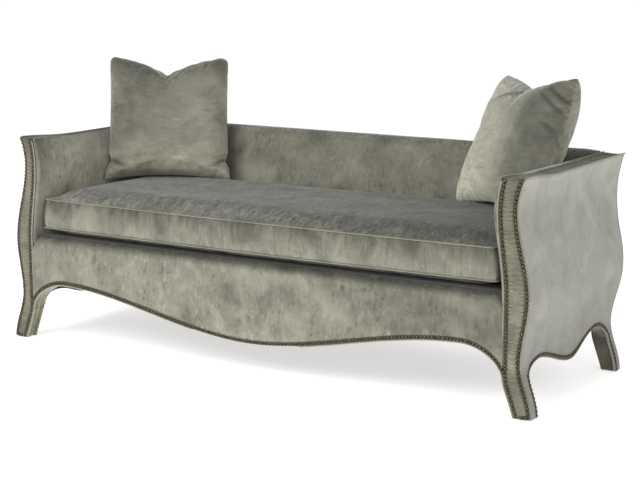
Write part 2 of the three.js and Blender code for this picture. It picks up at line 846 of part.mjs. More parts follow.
// Feet
const footMiddle = halfWidth - footWidth / 2;
const glide = new THREE.CylinderGeometry(glideRadius, glideRadius, glideHeight,
  glideSides);
glide.rotateX(Math.PI / 2).translate(footMiddle, 0, glideHeight / 2);
addPair("glide_front", glide.clone().translate(0, (postDepth - stileInnerProudFoot) / 2, 0), nylon);
addPair("glide_rear", glide.clone().translate(0, rearLegReach - legDepth / 2, 0), nylon);

// Nail rows
const stileCant = (z) => (stileInnerProud(z) - stileOuterProud) / (sideFace(z) - stileEdge(z));
const frontSpot = (x, z) => ({
  at: [x, stileFront(x, z) - nailLift, z],
  out: [stileCant(z), -1, 0],
});
const footRow = hemHeight + nailHalf + fit;
const outerLine = (z) => sideFace(z) - nailInset;
const innerLine = (z) => stileEdge(z) + nailInset;
const topNail = armHeight - nailInset;
addPair("stile_nails_outer", nailRow([
  ...rungs(footRow, topNail).reverse().map((z) => frontSpot(outerLine(z), z)),
  frontSpot(innerLine(footRow) + 2 * nailInset, footRow),
]), bronze);

const apronRow = apronEdge(0, 0);
const joinHeight = apronRow[1][1] + 2 * nailInset;
addPair("stile_nails_inner", nailRow(
  rungs(joinHeight, topNail).map((z) => frontSpot(innerLine(z), z)),
), bronze);

const kneeSpots = rungs(footRow, springHeight - nailInset).map((z) => frontSpot(innerLine(z), z));
const flipped = ({ at: [x, y, z], out: [ox, oy, oz] }) => ({ at: [-x, y, z], out: [-ox, oy, oz] });
add("apron_nails", nailRow([
  ...kneeSpots,
  ...apronRow.slice(1, -1).map(([x, z]) => ({
    at: [x, Math.min(-apronFront, stileFront(Math.abs(x), z)) - nailLift, z],
    out: forward,
  })),
  ...kneeSpots.map(flipped).reverse(),
]), bronze);

const sideSlope = (z) => (sideFace(z + nailHalf) - sideFace(z - nailHalf)) / (2 * nailHalf);
const sideSpot = (y, z) => ({
  at: [sideFace(z) + nailLiftCurved, y, z],
  out: [1, 0, -sideSlope(z)],
});
const sideRow = sideEdge(0, 0);
addPair("side_nails", nailRow([
  ...rungs(footRow, springHeight - nailInset).map((z) => sideSpot(sideLegLine, z)),
  ...sideRow.map(([y, z]) => sideSpot(y, z)),
  ...rungs(footRow, springHeight - nailInset).reverse()
    .map((z) => sideSpot(rearLegReach - legDepth + nailInset, z)),
]), bronze);

// Seat cushion: a crowned body whose welts stand at the edges of its boxing
const cushionHalf = armFace(waistHeight) - cushionClear;
const cushionBack = backFaceLow - cushionClear;
const weltLow = deckHeight + weltLift;
const weltHigh = weltLow + boxingHeight;
function cushionOutline(inset) {
  const across = cushionHalf - inset;
  const front = cushionFront + inset;
  const back = cushionBack - inset;
  const corner = Math.max(cushionCorner - inset, cushionCorner / cornerSpans);
  const middle = (front + back) / 2;
  const deep = (back - front) / 2;
  const points = [];
  const turn = (cx, cy, from) => {
    for (let i = 0; i <= cornerSpans; i += 1) {
      const angle = from + (Math.PI / 2) * (i / cornerSpans);
      points.push([cx + corner * Math.cos(angle), cy + corner * Math.sin(angle)]);
    }
  };
  const straight = (x0, y0, x1, y1, count) => {
    for (let i = 1; i < count; i += 1) {
      points.push([lerp(x0, x1, i / count), lerp(y0, y1, i / count)]);
    }
  };
  const [cx, cy] = [across - corner, deep - corner];
  turn(cx, middle + cy, 0);
  straight(cx, back, -cx, back, cushionSpans);
  turn(-cx, middle + cy, Math.PI / 2);
  straight(-across, middle + cy, -across, middle - cy, cushionSideSpans);
  turn(-cx, middle - cy, Math.PI);
  straight(-cx, front, cx, front, cushionSpans);
  turn(cx, middle - cy, 1.5 * Math.PI);
  straight(across, middle - cy, across, middle + cy, cushionSideSpans);
  const bow = Math.max(cushionBow - inset, 0);
  return points.map(([x, y]) => {
    const near = share(y, middle, front);
    return [x, y - bow * near * (1 - (x / across) ** 2)];
  });
}

const cushionSink = weltLow - deckHeight - 2 * fit;
const cushionRing = (inset, z) => cushionOutline(inset).map(([x, y]) => [x, y, z]);
const seamInset = 2 * cushionWeltRadius + fit;
const seamHalf = cushionWeltRadius + fit;
const crown = (edge, peak) => {
  const rings = [];
  for (let i = 0; i <= crownSteps; i += 1) {
    const t = i / crownSteps;
    const height = lerp(edge, peak, Math.sin((Math.PI / 2) * t));
    rings.push(cushionRing(seamInset + crownReach * t, height));
  }
  return rings;
};
const cushion = new THREE.Group();
sofa.add(cushion);
add("seat_cushion", loft([
  ...crown(weltLow - seamHalf, weltLow - cushionSink).reverse(),
  cushionRing(seamInset, weltLow + seamHalf),
  cushionRing(cushionWeltRadius, weltLow + seamHalf),
  cushionRing(cushionWeltRadius - boxingSwell, (weltLow + weltHigh) / 2),
  cushionRing(cushionWeltRadius, weltHigh - seamHalf),
  cushionRing(seamInset, weltHigh - seamHalf),
  ...crown(weltHigh + seamHalf, weltHigh + cushionCrown),
]), seatVelvet, cushion);

// A welt that runs right round the cushion has no ends
const weltRing = (z) => loft(roundSection.map(([a, b]) => cushionRing(
  cushionWeltRadius + a * (cushionWeltRadius - fit),
  z + b * (cushionWeltRadius - fit),
)), true);
add("cushion_welt_low", weltRing(weltLow), paleVelvet, cushion);
add("cushion_welt_high", weltRing(weltHigh), paleVelvet, cushion);

// Pillows: knife-edged squares, drawn in between their corners and chopped at the top
function pillowBody() {
  const cells = pillowCells;
  const position = [];
  const index = [];
  const at = new Map();
  const spot = (i, j, side) => {
    const edge = i === 0 || j === 0 || i === cells || j === cells;
    const key = `${i} ${j} ${edge ? 0 : side}`;
    if (at.has(key)) return at.get(key);
    const u = Math.sin((Math.PI / 2) * (2 * (i / cells) - 1));
    const v = Math.sin((Math.PI / 2) * (2 * (j / cells) - 1));
    const top = (v + 1) / 2;
    const wide = pillowWidth / 2 - pillowEarInset * top * top - pillowSideInset * (1 - v * v);
    const chop = (1 - Math.abs(u)) ** pillowNotchSpread * top ** pillowFade;
    const low = pillowLiftHeight * (1 - u * u) * (1 - top) ** pillowFade;
    const full = ((1 - u ** 4) * (1 - v ** 4)) ** pillowFullness * (1 - pillowFold * chop);
    const swell = side < 0 ? -pillowFrontDepth : pillowBackDepth;
    position.push(u * wide, swell * full, pillowHeight * top + low - pillowNotchDepth * chop);
    at.set(key, position.length / 3 - 1);
    return at.get(key);
  };
  for (const side of [-1, 1]) {
    for (let i = 0; i < cells; i += 1) {
      for (let j = 0; j < cells; j += 1) {
        const [a, b] = [spot(i, j, side), spot(i + 1, j, side)];
        const [c, d] = [spot(i + 1, j + 1, side), spot(i, j + 1, side)];
        if (side < 0) index.push(a, b, c, a, c, d);
        else index.push(a, c, b, a, d, c);
      }
    }
  }
  const geometry = new THREE.BufferGeometry();
  geometry.setAttribute("position", new THREE.Float32BufferAttribute(position, 3));
  geometry.setIndex(index);
  return facingOut(geometry);
}

function addPillow(name, x, ahead, settle, [lean, roll, turn]) {
  const pillow = add(name, pillowBody(), pillowVelvet);
  const [aboutX, aboutY, aboutZ] = [-lean, roll, turn].map(THREE.MathUtils.degToRad);
  pillow.rotation.set(aboutX, aboutY, aboutZ, "ZXY");
  pillow.position.set(x, cushionBack - ahead, weltHigh + cushionCrown - settle);
}
addPillow("pillow_left", leftPillowInset - cushionHalf, leftPillowSetback, leftPillowDrop,
  [leftPillowLean, leftPillowRoll, leftPillowTurn]);
addPillow("pillow_right", cushionHalf - rightPillowInset, rightPillowSetback, rightPillowDrop,
  [rightPillowLean, rightPillowRoll, rightPillowTurn]);

// The origin is under the middle of the whole sofa
const box = new THREE.Box3().setFromObject(sofa, true);
sofa.position.y = -(box.min.y + box.max.y) / 2;

export default sofa;
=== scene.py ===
# A velvet recamier with nail trim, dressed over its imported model.
# Lengths in the dictionaries are in millimetres, with y from the sofa's own front plane, and
# `spot` turns them into the scene's metres.
import bpy
import math
from mathutils import Matrix, Vector, noise


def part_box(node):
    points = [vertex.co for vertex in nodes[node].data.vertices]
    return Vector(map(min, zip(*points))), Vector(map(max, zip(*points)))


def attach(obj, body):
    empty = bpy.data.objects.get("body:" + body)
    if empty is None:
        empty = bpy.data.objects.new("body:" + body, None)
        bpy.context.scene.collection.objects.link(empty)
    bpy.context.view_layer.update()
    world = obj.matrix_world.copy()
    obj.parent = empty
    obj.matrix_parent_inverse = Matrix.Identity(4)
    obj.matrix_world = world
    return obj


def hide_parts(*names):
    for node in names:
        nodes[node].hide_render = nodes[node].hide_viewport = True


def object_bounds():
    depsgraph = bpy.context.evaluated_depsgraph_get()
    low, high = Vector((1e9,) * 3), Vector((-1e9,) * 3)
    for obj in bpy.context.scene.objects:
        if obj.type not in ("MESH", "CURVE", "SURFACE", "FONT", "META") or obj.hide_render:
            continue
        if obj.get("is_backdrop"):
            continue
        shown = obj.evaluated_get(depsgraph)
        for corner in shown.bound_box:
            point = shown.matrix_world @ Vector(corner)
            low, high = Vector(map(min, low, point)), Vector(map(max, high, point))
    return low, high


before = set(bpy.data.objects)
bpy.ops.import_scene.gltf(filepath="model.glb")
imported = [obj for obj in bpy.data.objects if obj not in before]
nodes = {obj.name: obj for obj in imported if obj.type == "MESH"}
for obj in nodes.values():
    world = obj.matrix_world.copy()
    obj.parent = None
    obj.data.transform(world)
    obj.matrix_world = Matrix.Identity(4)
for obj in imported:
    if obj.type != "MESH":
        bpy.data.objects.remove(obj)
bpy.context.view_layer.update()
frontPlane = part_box("front_apron")[0].y + 0.014  # the apron stands 14 mm ahead of it
print("frame loaded")

# Camera at the photograph's angle
photoCamera = {
    "place": (2.9789, -4.8602, 1.4077),
    "turn": 31.23,  # degrees round from straight in front
    "tilt": 9.91,  # degrees down
    "roll": 0.47,
    "lens": 89.46,
    "sensor": 36,
}


def addCamera(setup):
    turn, tilt, roll = (math.radians(setup[key]) for key in ("turn", "tilt", "roll"))
    ahead = Vector((-math.sin(turn) * math.cos(tilt), math.cos(turn) * math.cos(tilt), -math.sin(tilt)))
    side = Vector((math.cos(turn), math.sin(turn), 0))
    up = side.cross(ahead)
    side, up = side * math.cos(roll) + up * math.sin(roll), up * math.cos(roll) - side * math.sin(roll)
    bpy.ops.object.camera_add()
    camera = bpy.context.object
    camera.name = "photoCamera"
    turned = Matrix((side, up, -ahead)).transposed().to_4x4()
    camera.matrix_world = Matrix.Translation(setup["place"]) @ turned
    camera.data.sensor_width = setup["sensor"]
    camera.data.lens = setup["lens"]
    bpy.context.scene.camera = camera


addCamera(photoCamera)

# The sofa's main lines, which every cover follows
outline = {
    "halfWidth": 1062, "armHeight": 762, "bellyHeight": 380, "waistHeight": 660, "ankleHeight": 178,
    "ankleInset": 41.5, "bellyInset": 17.5, "waistInset": 65, "topInset": 42,
    "footWidth": 56, "kneeHeight": 120, "kneeInset": 99.7, "innerWaistInset": 126.5, "innerTopInset": 112,
    "outerProud": 5, "innerProudFoot": 10, "innerProudTop": 23,
    "rearLeg": 765, "rearBelly": 804, "rearShoulder": 854, "rearTop": 842,
    "rearAnkle": 160, "rearBellyLow": 340, "rearBellyHigh": 490, "rearShoulderHeight": 710,
    "capSag": 11, "capSagOffset": 250, "capTail": 4,
    "armPad": 12, "armHollow": 6, "hollowHeight": 650, "hollowReach": 75,
    "deckHeight": 398, "apronFront": 14, "spring": 122, "nailInset": 9, "hem": 3,
}


def spot(x, y, z):
    return Vector((x / 1000, frontPlane + y / 1000, z / 1000))


def unspot(co):
    return co.x * 1000, (co.y - frontPlane) * 1000, co.z * 1000


def lerp(a, b, t):
    return a + (b - a) * t


def ease(t):
    return t * t * (3 - 2 * t)


def share(value, low, high):
    return min(max((value - low) / (high - low), 0), 1)


def closeness(distance, reach):
    return math.exp(-(distance / reach) ** 2)


def sCurve(z, foot, ankle, belly, waist, top):
    o = outline
    if z > o["waistHeight"]:
        return lerp(waist, top, share(z, o["waistHeight"], o["armHeight"]) ** 2)
    if z > o["bellyHeight"]:
        return lerp(belly, waist, ease(share(z, o["bellyHeight"], o["waistHeight"])))
    if z > o["ankleHeight"]:
        return lerp(ankle, belly, ease(share(z, o["ankleHeight"], o["bellyHeight"])))
    return lerp(foot, ankle, ease(share(z, 0, o["ankleHeight"])))


def sideFace(z):
    o = outline
    return o["halfWidth"] - sCurve(z, 0, o["ankleInset"], o["bellyInset"], o["waistInset"], o["topInset"])


def stileEdge(z):
    o = outline
    knee = o["kneeInset"]
    if z > o["ankleHeight"]:
        return o["halfWidth"] - sCurve(z, knee, knee, knee, o["innerWaistInset"], o["innerTopInset"])
    near = [share(z + step, 0, o["kneeHeight"]) for step in (-16, -8, 0, 8, 16)]
    return o["halfWidth"] - lerp(o["footWidth"], knee, sum(near) / len(near))


def armFace(z):
    o = outline
    return stileEdge(z) - o["armPad"] - o["armHollow"] * closeness(z - o["hollowHeight"], o["hollowReach"])


def stileFront(x, z):
    o = outline
    inner = lerp(o["innerProudFoot"], o["innerProudTop"], z / o["armHeight"])
    return lerp(-inner, -o["outerProud"], share(x, stileEdge(z), sideFace(z)))


def rearFace(z):
    o = outline
    if z > o["rearShoulderHeight"]:
        return lerp(o["rearShoulder"], o["rearTop"], share(z, o["rearShoulderHeight"], o["armHeight"]) ** 2)
    if z > o["rearBellyHigh"]:
        rise = ease(share(z, o["rearBellyHigh"], o["rearShoulderHeight"]))
        return lerp(o["rearBelly"], o["rearShoulder"], rise)
    return lerp(o["rearLeg"], o["rearBelly"], ease(share(z, o["rearAnkle"], o["rearBellyLow"])))


def capTop(y):
    o = outline
    low = o["armHeight"] - o["capSag"]
    if y < o["capSagOffset"]:
        return lerp(o["armHeight"], low, ease(share(y, 0, o["capSagOffset"])))
    return lerp(low, o["armHeight"] - o["capTail"], ease(share(y, o["capSagOffset"], o["rearTop"])))


apronWave = {"leg": 971.3, "peak": 815, "dip": 0, "peakHeight": 232, "dipHeight": 119}
sideWaveFront = {"leg": 37, "peak": 140, "dip": 380, "peakHeight": 177, "dipHeight": 126}
sideWaveRear = {"leg": 729, "peak": 620, "dip": 380, "peakHeight": 184, "dipHeight": 126}
archPower = 1.8  # 2 would make the arches quarter ellipses
archSteps, dipSteps = 24, 30


# The leg end, peak and top of a wavy edge; `lower` moves the edge out into the opening
def waveEnds(wave, lower, drop):
    leg = wave["leg"] + lower * math.copysign(1, wave["peak"] - wave["leg"])
    return leg, wave["peak"], wave["peakHeight"] - drop, outline["spring"]


def waveHeight(at, wave, lower=0, drop=0):
    leg, peak, top, base = waveEnds(wave, lower, drop)
    past = (at - peak) / (leg - peak)
    if past > 0:
        return base + (top - lower - base) * max(1 - min(past, 1) ** archPower, 0) ** (1 / archPower)
    return lerp(top, wave["dipHeight"], ease(share(-past, 0, (peak - wave["dip"]) / (leg - peak)))) - lower


# The same edge as a line of (place, height) points, from its leg to its dip
def waveLine(wave, lower=0):
    leg, peak, top, base = waveEnds(wave, lower, 0)
    bend = 2 / archPower
    arch = [(peak + (leg - peak) * math.cos(a) ** bend, base + (top - lower - base) * math.sin(a) ** bend)
            for a in (math.pi / 2 * i / archSteps for i in range(archSteps))]
    shares = (i / dipSteps for i in range(dipSteps + 1))
    return arch + [(lerp(peak, wave["dip"], s), lerp(top, wave["dipHeight"], ease(s)) - lower)
                   for s in shares]


def apronHeight(x, lower=0, drop=0):
    return waveHeight(abs(x), apronWave, lower, drop)


def sideHeight(y, lower=0):
    return waveHeight(y, sideWaveFront if y < sideWaveFront["dip"] else sideWaveRear, lower)


# Evenly spaced values between breaks, with every break kept
def spaced(breaks, step):
    values = [breaks[0]]
    for low, high in zip(breaks, breaks[1:]):
        count = max(1, round(abs(high - low) / step))
        values += [lerp(low, high, i / count) for i in range(1, count + 1)]
    return values


# Breaks on both sides of the middle, and any in between
def bothWays(values, *middle):
    return [-value for value in values[::-1]] + [*middle, *values]


# Materials. A node's inputs are filled with values or from other nodes' outputs.
def feed(tree, node, inputs):
    for key, value in inputs.items():
        if isinstance(value, bpy.types.NodeSocket):
            tree.links.new(value, node.inputs[key])
        else:
            node.inputs[key].default_value = value
    return node


def nodeOf(tree, kind, x, y, inputs=None, **settings):
    node = tree.nodes.new("ShaderNode" + kind)
    node.location = (x, y)
    for key, value in settings.items():
        setattr(node, key, value)
    return feed(tree, node, inputs or {})


def newMaterial(name, roughness):
    material = bpy.data.materials.new(name)
    material.use_nodes = True
    shader = material.node_tree.nodes["Principled BSDF"]
    shader.inputs["Roughness"].default_value = roughness
    return material, material.node_tree, shader


def noiseOf(tree, place, stretch, scale, detail, distortion, x, y):
    mapping = nodeOf(tree, "Mapping", x, y, {"Scale": stretch, "Vector": place})
    return nodeOf(tree, "TexNoise", x + 200, y, {
        "Scale": scale, "Detail": detail, "Distortion": distortion, "Vector": mapping.outputs["Vector"],
    }).outputs["Fac"]


def mixOf(tree, first, second, part, x, y):
    return nodeOf(tree, "Mix", x, y, {0: part, 2: first, 3: second}, data_type="FLOAT").outputs[0]


def mathOf(tree, operation, values, x, y):
    return nodeOf(tree, "Math", x, y, dict(enumerate(values)), operation=operation).outputs["Value"]


def rangeOf(tree, value, reach, x, y, **settings):
    inputs = dict(zip(("From Min", "From Max", "To Min", "To Max"), reach), Value=value)
    return nodeOf(tree, "MapRange", x, y, inputs, **settings).outputs["Result"]


def stepsOf(tree, value, low, high, x, y):
    return rangeOf(tree, value, (low, high), x, y, interpolation_type="SMOOTHSTEP")


def bumpOf(tree, height, strength, distance, x, y, **under):
    inputs = {"Strength": strength, "Distance": distance, "Height": height, **under}
    return nodeOf(tree, "Bump", x, y, inputs).outputs["Normal"]


# Keeps a noise's few high and low places and levels the rest
def sparseOf(tree, value, x, y):
    ramp = nodeOf(tree, "FloatCurve", x, y, {"Value": value})
    points = ramp.mapping.curves[0].points
    for at, level in ((0.30, 0.0), (0.43, 0.5), (0.57, 0.5), (0.70, 1.0)):
        points.new(at, level)
    points[0].location = (0, 0)
    points[-1].location = (1, 1)
    for point in points:
        point.handle_type = "VECTOR"
    ramp.mapping.update()
    return ramp.outputs["Value"]


def rampOf(tree, value, colours, x, y):
    ramp = nodeOf(tree, "ValToRGB", x, y, {"Fac": value})
    band = ramp.color_ramp
    while len(band.elements) < len(colours):
        band.elements.new(0.5)
    for element, (at, colour) in zip(band.elements, colours):
        element.position = at
        element.color = (*colour, 1)
    return ramp.outputs["Color"]


# Crushed velvet. Crisp marks where the pile is pressed over lie in clusters on a plainer
# ground. Light and shade are painted into its colour by facing: it is painted pale where it
# faces down or ahead and slate where it faces up.
velvetLook = {
    "pale": (0.285, 0.278, 0.222), "face": (0.215, 0.209, 0.165), "leaning": (0.155, 0.152, 0.122),
    "edge": (0.138, 0.136, 0.113), "flat": (0.104, 0.106, 0.094),
    # how far up a face looks, from 0 to 1, where it takes each of these painted light and shade colours
    "shadeSlopes": {"pale": 0.36, "face": 0.5, "leaning": 0.66, "edge": 0.93, "flat": 0.985},
    "lying": (0.75, 0.9), "sheen": 0.6, "sheenRoughness": 0.38, "sheenTint": (0.95, 0.95, 0.88, 1),
    "roughness": 0.85, "specular": 0.15,
    "dark": 0.52, "light": 1.42, "cloud": 0.3, "pressed": 0.62, "brushed": 0.3,
    "calm": 0.45, "rough": 0.85, "cross": 0.3, "thread": 0.14,  # shares of the marks in the ground
    "crush": (0.3, 0.002), "nap": (0.15, 0.0007),  # strength and depth of the relief
    # scale, detail and distortion
    "noises": {"patches": (9, 3, 0.5), "marks": (85, 6, 0.4), "brushed": (95, 6, 0.4),
               "crossing": (120, 5, 0.3), "weave": (320, 2, 0), "where": (11, 3, 0.4), "pile": (900, 1, 0)},
    # how the marks and what crosses them are stretched
    "lays": {"z": ((1, 1, 0.42), (0.35, 0.35, 1)), "x": ((0.3, 0.3, 1), (1, 1, 0.5)),
             "combed": ((1.3, 1.3, 0.2), (0.6, 0.6, 1))},
}


def velvet(name, paintedLightTint=(1, 1, 1), along="z", contrast=1.0, sheen=None, paintedGradient=None, evenness=0):
    look = velvetLook
    material, tree, shader = newMaterial(name, look["roughness"])
    place = nodeOf(tree, "TexCoord", -2300, 0).outputs["Object"]
    facing = nodeOf(tree, "NewGeometry", -2300, 600).outputs["Normal"]
    parts = nodeOf(tree, "SeparateXYZ", -2100, 600, {"Vector": facing})
    up = rangeOf(tree, parts.outputs["Z"], (-1, 1), -1900, 600)
    facingShades = [(at, [lerp(c, f, evenness) * k for c, f, k in zip(look[key], look["face"], paintedLightTint)])
             for key, at in look["shadeSlopes"].items()]
    # colour painted lighter or darker by which way the face looks: painted light and shade
    base = rampOf(tree, up, facingShades, -1200, 600)
    lying = stepsOf(tree, up, *look["lying"], -1700, 350)

    long, across = look["lays"][along]
    stretches = {"marks": long, "brushed": (1, 0.3, 1), "crossing": across, "weave": across,
                 "where": (1, 1, 0.7)}
    clouds = {key: noiseOf(tree, place, stretches.get(key, (1, 1, 1)), *shape, -2300, 200 - 200 * k)
              for k, (key, shape) in enumerate(look["noises"].items())}
    patches = stepsOf(tree, clouds["patches"], 0.25, 0.75, -1900, 200)
    lines = sparseOf(tree, mixOf(tree, clouds["marks"], clouds["brushed"], lying, -1900, -100), -1700, -100)
    lines = mixOf(tree, lines, sparseOf(tree, clouds["crossing"], -1700, -450), look["cross"], -1500, -100)
    lines = mixOf(tree, lines, clouds["weave"], look["thread"], -1350, -100)
    calm = mixOf(tree, patches, lines, look["calm"], -1150, 0)
    rough = mixOf(tree, patches, lines, look["rough"], -1150, -150)
    cloudy = mixOf(tree, calm, rough, stepsOf(tree, clouds["where"], 0.42, 0.6, -1400, -600), -1000, 0)
    reach = look["cloud"] / contrast
    level = rangeOf(tree, cloudy, (0.5 - reach, 0.5 + reach, look["dark"], look["light"]), -800, 100)

    # a hand brushes what lies flat to and fro
    sways = [mathOf(tree, "MULTIPLY_ADD", (lying, way * look["brushed"], 1), -1500, -950 - 150 * way)
             for way in (-1, 1)]
    strokes = rangeOf(tree, clouds["brushed"], (0.3, 0.7, *sways), -1300, -900)
    # the pile is darker where nails press it, and the same mark paints shade where it is covered or shaded
    darkening = nodeOf(tree, "Attribute", -1000, 350, attribute_name="pressed").outputs["Fac"]
    fades = [strokes, rangeOf(tree, darkening, (0, 1, 1, 1 - look["pressed"]), -800, 350)]
    if paintedGradient:
        axis, *reach = paintedGradient
        spread = nodeOf(tree, "SeparateXYZ", -1000, 500, {"Vector": place})
        fades.append(rangeOf(tree, spread.outputs[axis], reach, -800, 500))
    for k, fade in enumerate(fades):
        level = mathOf(tree, "MULTIPLY", (level, fade), -700 + 100 * k, 250)
    toned = nodeOf(tree, "VectorMath", -300, 300, {0: base, "Scale": level}, operation="SCALE")
    lay = bumpOf(tree, cloudy, *look["crush"], -450, -150)
    feed(tree, shader, {
        "Base Color": toned.outputs["Vector"],
        "Normal": bumpOf(tree, clouds["pile"], *look["nap"], -250, -150, Normal=lay),
        "Sheen Weight": look["sheen"] if sheen is None else sheen,
        "Sheen Roughness": look["sheenRoughness"],
        "Sheen Tint": look["sheenTint"],
        "Specular IOR Level": look["specular"],
    })
    return material


# A painted gradient is an axis, where it starts and ends in metres, and the brightness there
# Lit and shaded copies of one velvet: their tints and gradients are painted light and shade
frontVelvet = velvet("frontVelvet", (1, 1, 1), "z", 1.0, 0.3, ("X", 0.0, 0.9, 1.03, 0.84))
stileVelvet = velvet("stileVelvet", (0.77, 0.755, 0.71), "x", 0.9, 0.3, ("Z", 0.3, 0.76, 1.0, 0.72))
legVelvet = velvet("legVelvet", (0.82, 0.8, 0.74), "z", 1.1, None, ("Y", -0.4, 0.3, 1.15, 0.5))
sideVelvet = velvet("sideVelvet", (1.5, 1.53, 1.72), "z", 0.4, 0.4, ("Z", 0.27, 0.45, 0.8, 1.0), 0.75)
armVelvet = velvet("armVelvet", (1.36, 1.35, 1.36), "z", 0.9, None, ("Y", -0.42, -0.34, 0.56, 1.06))
capVelvet = velvet("capVelvet", (0.68, 0.66, 0.66), "z", 1.4, 0.2)
backVelvet = velvet("backVelvet", (0.9, 0.9, 0.9), "z", 0.9)
seatVelvet = velvet("seatVelvet", (1, 1, 1), "combed", 0.85, 0.3, ("X", -0.9, 0.9, 1.16, 0.82))
pillowVelvets = {
    "left": velvet("leftPillowVelvet", (1.17, 1.16, 1.14), "x", 0.65, 0.6, ("X", -0.85, -0.53, 0.88, 1.5)),
    "right": velvet("rightPillowVelvet", (1, 1, 0.98), "x", 0.7, 0.8, ("X", 0.5, 0.8, 2.75, 1.0)),
}
# The welts' copy is painted lighter, a painted highlight on the cords; the cushion welts' copy is painted a
# little darker, painted shade
weltVelvet = velvet("weltVelvet", (1.14, 1.13, 1.08), "z", 0.5)
seamVelvet = velvet("seamVelvet", (0.92, 0.91, 0.86), "z", 0.5)


def grained(name, dark, light, stretch, scale, roughness, relief, depth, metal=0.0):
    material, tree, shader = newMaterial(name, roughness)
    place = nodeOf(tree, "TexCoord", -1100, 0).outputs["Object"]
    grain = noiseOf(tree, place, stretch, scale, 4, 0.3, -900, 0)
    feed(tree, shader, {
        "Base Color": rampOf(tree, grain, ((0.36, dark), (0.64, light)), -400, 100),
        "Normal": bumpOf(tree, grain, relief, depth, -300, -200),
        "Metallic": metal,
    })
    return material


even = (1, 1, 1)
agedBronze = grained("agedBronze", (0.022, 0.018, 0.012), (0.12, 0.1, 0.068), even, 260, 0.34, 0.2, 0.0003,
                     0.85)
beechWood = grained("beechWood", (0.42, 0.27, 0.15), (0.6, 0.42, 0.25), (0.08, 1, 1), 60, 0.55, 0.15, 0.0005)
paleWadding = grained("paleWadding", (0.70, 0.68, 0.62), (0.86, 0.84, 0.78), even, 90, 0.95, 0.5, 0.002)
deckLining = grained("deckLining", (0.13, 0.13, 0.112), (0.19, 0.188, 0.162), even, 520, 0.92, 0.35, 0.0005)
juteWebbing = grained("juteWebbing", (0.25, 0.17, 0.08), (0.46, 0.35, 0.19), (1, 0.1, 1), 420, 0.9, 0.5,
                      0.0006)
blackCloth = grained("blackCloth", (0.012, 0.012, 0.011), (0.03, 0.03, 0.028), even, 700, 0.95, 0.3, 0.0004)
stapleWire = grained("stapleWire", (0.3, 0.29, 0.27), (0.5, 0.49, 0.46), even, 400, 0.4, 0.1, 0.0002, 0.9)
darkNylon = grained("darkNylon", (0.02, 0.02, 0.02), (0.035, 0.035, 0.035), even, 300, 0.45, 0.1, 0.0002)
print("materials made")


# Shaping helpers
def deselect():
    if bpy.context.object and bpy.context.object.mode != "OBJECT":
        bpy.ops.object.mode_set(mode="OBJECT")
    bpy.ops.object.select_all(action="DESELECT")


def pick(piece):
    deselect()
    piece.select_set(True)
    bpy.context.view_layer.objects.active = piece


def applyAll(piece):
    pick(piece)
    for modifier in list(piece.modifiers):
        bpy.ops.object.modifier_apply(modifier=modifier.name)


# Runs mesh operators on the active piece, after selecting all of it, none or as it was
def edit(*steps, select="SELECT"):
    bpy.ops.object.mode_set(mode="EDIT")
    if select:
        bpy.ops.mesh.select_all(action=select)
    for step in steps:
        step()
    bpy.ops.object.mode_set(mode="OBJECT")


def pickNone(piece, kind):
    pick(piece)
    edit(lambda: bpy.ops.mesh.select_mode(type=kind), select="DESELECT")


def joinAll(pieces, name):
    deselect()
    for piece in pieces:
        piece.select_set(True)
    bpy.context.view_layer.objects.active = pieces[0]
    bpy.ops.object.join()
    pieces[0].name = name
    return pieces[0]


def placeCopy(model, place, turned):
    piece = model.copy()
    piece.data = model.data.copy()
    bpy.context.collection.objects.link(piece)
    piece.data.transform(Matrix.Translation(place) @ turned)
    return piece


# A cloth sheet whose grid crossings are laid on the sofa's lines
def layCover(name, across, up, place):
    deselect()
    bpy.ops.mesh.primitive_grid_add(x_subdivisions=len(across) - 1, y_subdivisions=len(up) - 1, size=2)
    piece = bpy.context.object
    piece.name = name
    for vertex in piece.data.vertices:
        i = round((vertex.co.x + 1) / 2 * (len(across) - 1))
        j = round((vertex.co.y + 1) / 2 * (len(up) - 1))
        vertex.co = spot(*place(across[i], up[j]))
    return piece


# Rows from 0 to 1, closer together at both ends
def rowsOf(count, part):
    return [ease(i / count) * part + (1 - part) * i / count for i in range(count + 1)]


# Draws part of a sheet's lower edge down in steps, as down a leg
def drawDown(piece, chosen, heights, move):
    pickNone(piece, "VERT")
    for vertex in piece.data.vertices:
        x, y, z = unspot(vertex.co)
        vertex.select = abs(z - heights[0]) < 0.5 and chosen(x, y)
    for before, after in zip(heights, heights[1:]):
        down = {"value": (0, 0, (after - before) / 1000)}
        edit(lambda: bpy.ops.mesh.extrude_region_move(TRANSFORM_OT_translate=down), select="")
        for vertex in piece.data.vertices:
            if vertex.select:
                vertex.co = spot(*move(*unspot(vertex.co)[:2], before, after))


def thicken(piece, wall, edge=1.5, group=""):
    solid = piece.modifiers.new("wall", "SOLIDIFY")
    solid.vertex_group = group
    solid.thickness = wall / 1000
    solid.offset = -1
    solid.use_even_offset = True
    if edge:
        soften = piece.modifiers.new("soften", "BEVEL")
        soften.width = edge / 1000
        soften.segments = 2
        soften.angle_limit = math.radians(50)
    applyAll(piece)
    bpy.ops.object.shade_smooth()
    return piece


def turnOver(piece):
    pick(piece)
    edit(bpy.ops.mesh.flip_normals)


def mirrorCopy(piece, name):
    pick(piece)
    bpy.ops.object.duplicate()
    copy = bpy.context.object
    copy.name = name
    for vertex in copy.data.vertices:
        vertex.co.x = -vertex.co.x
    turnOver(copy)
    return copy


def dress(piece, material, slot, body, *stoodFor):
    piece.data.materials.clear()
    piece.data.materials.append(material)
    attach(piece, body)
    if stoodFor:
        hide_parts(*stoodFor)


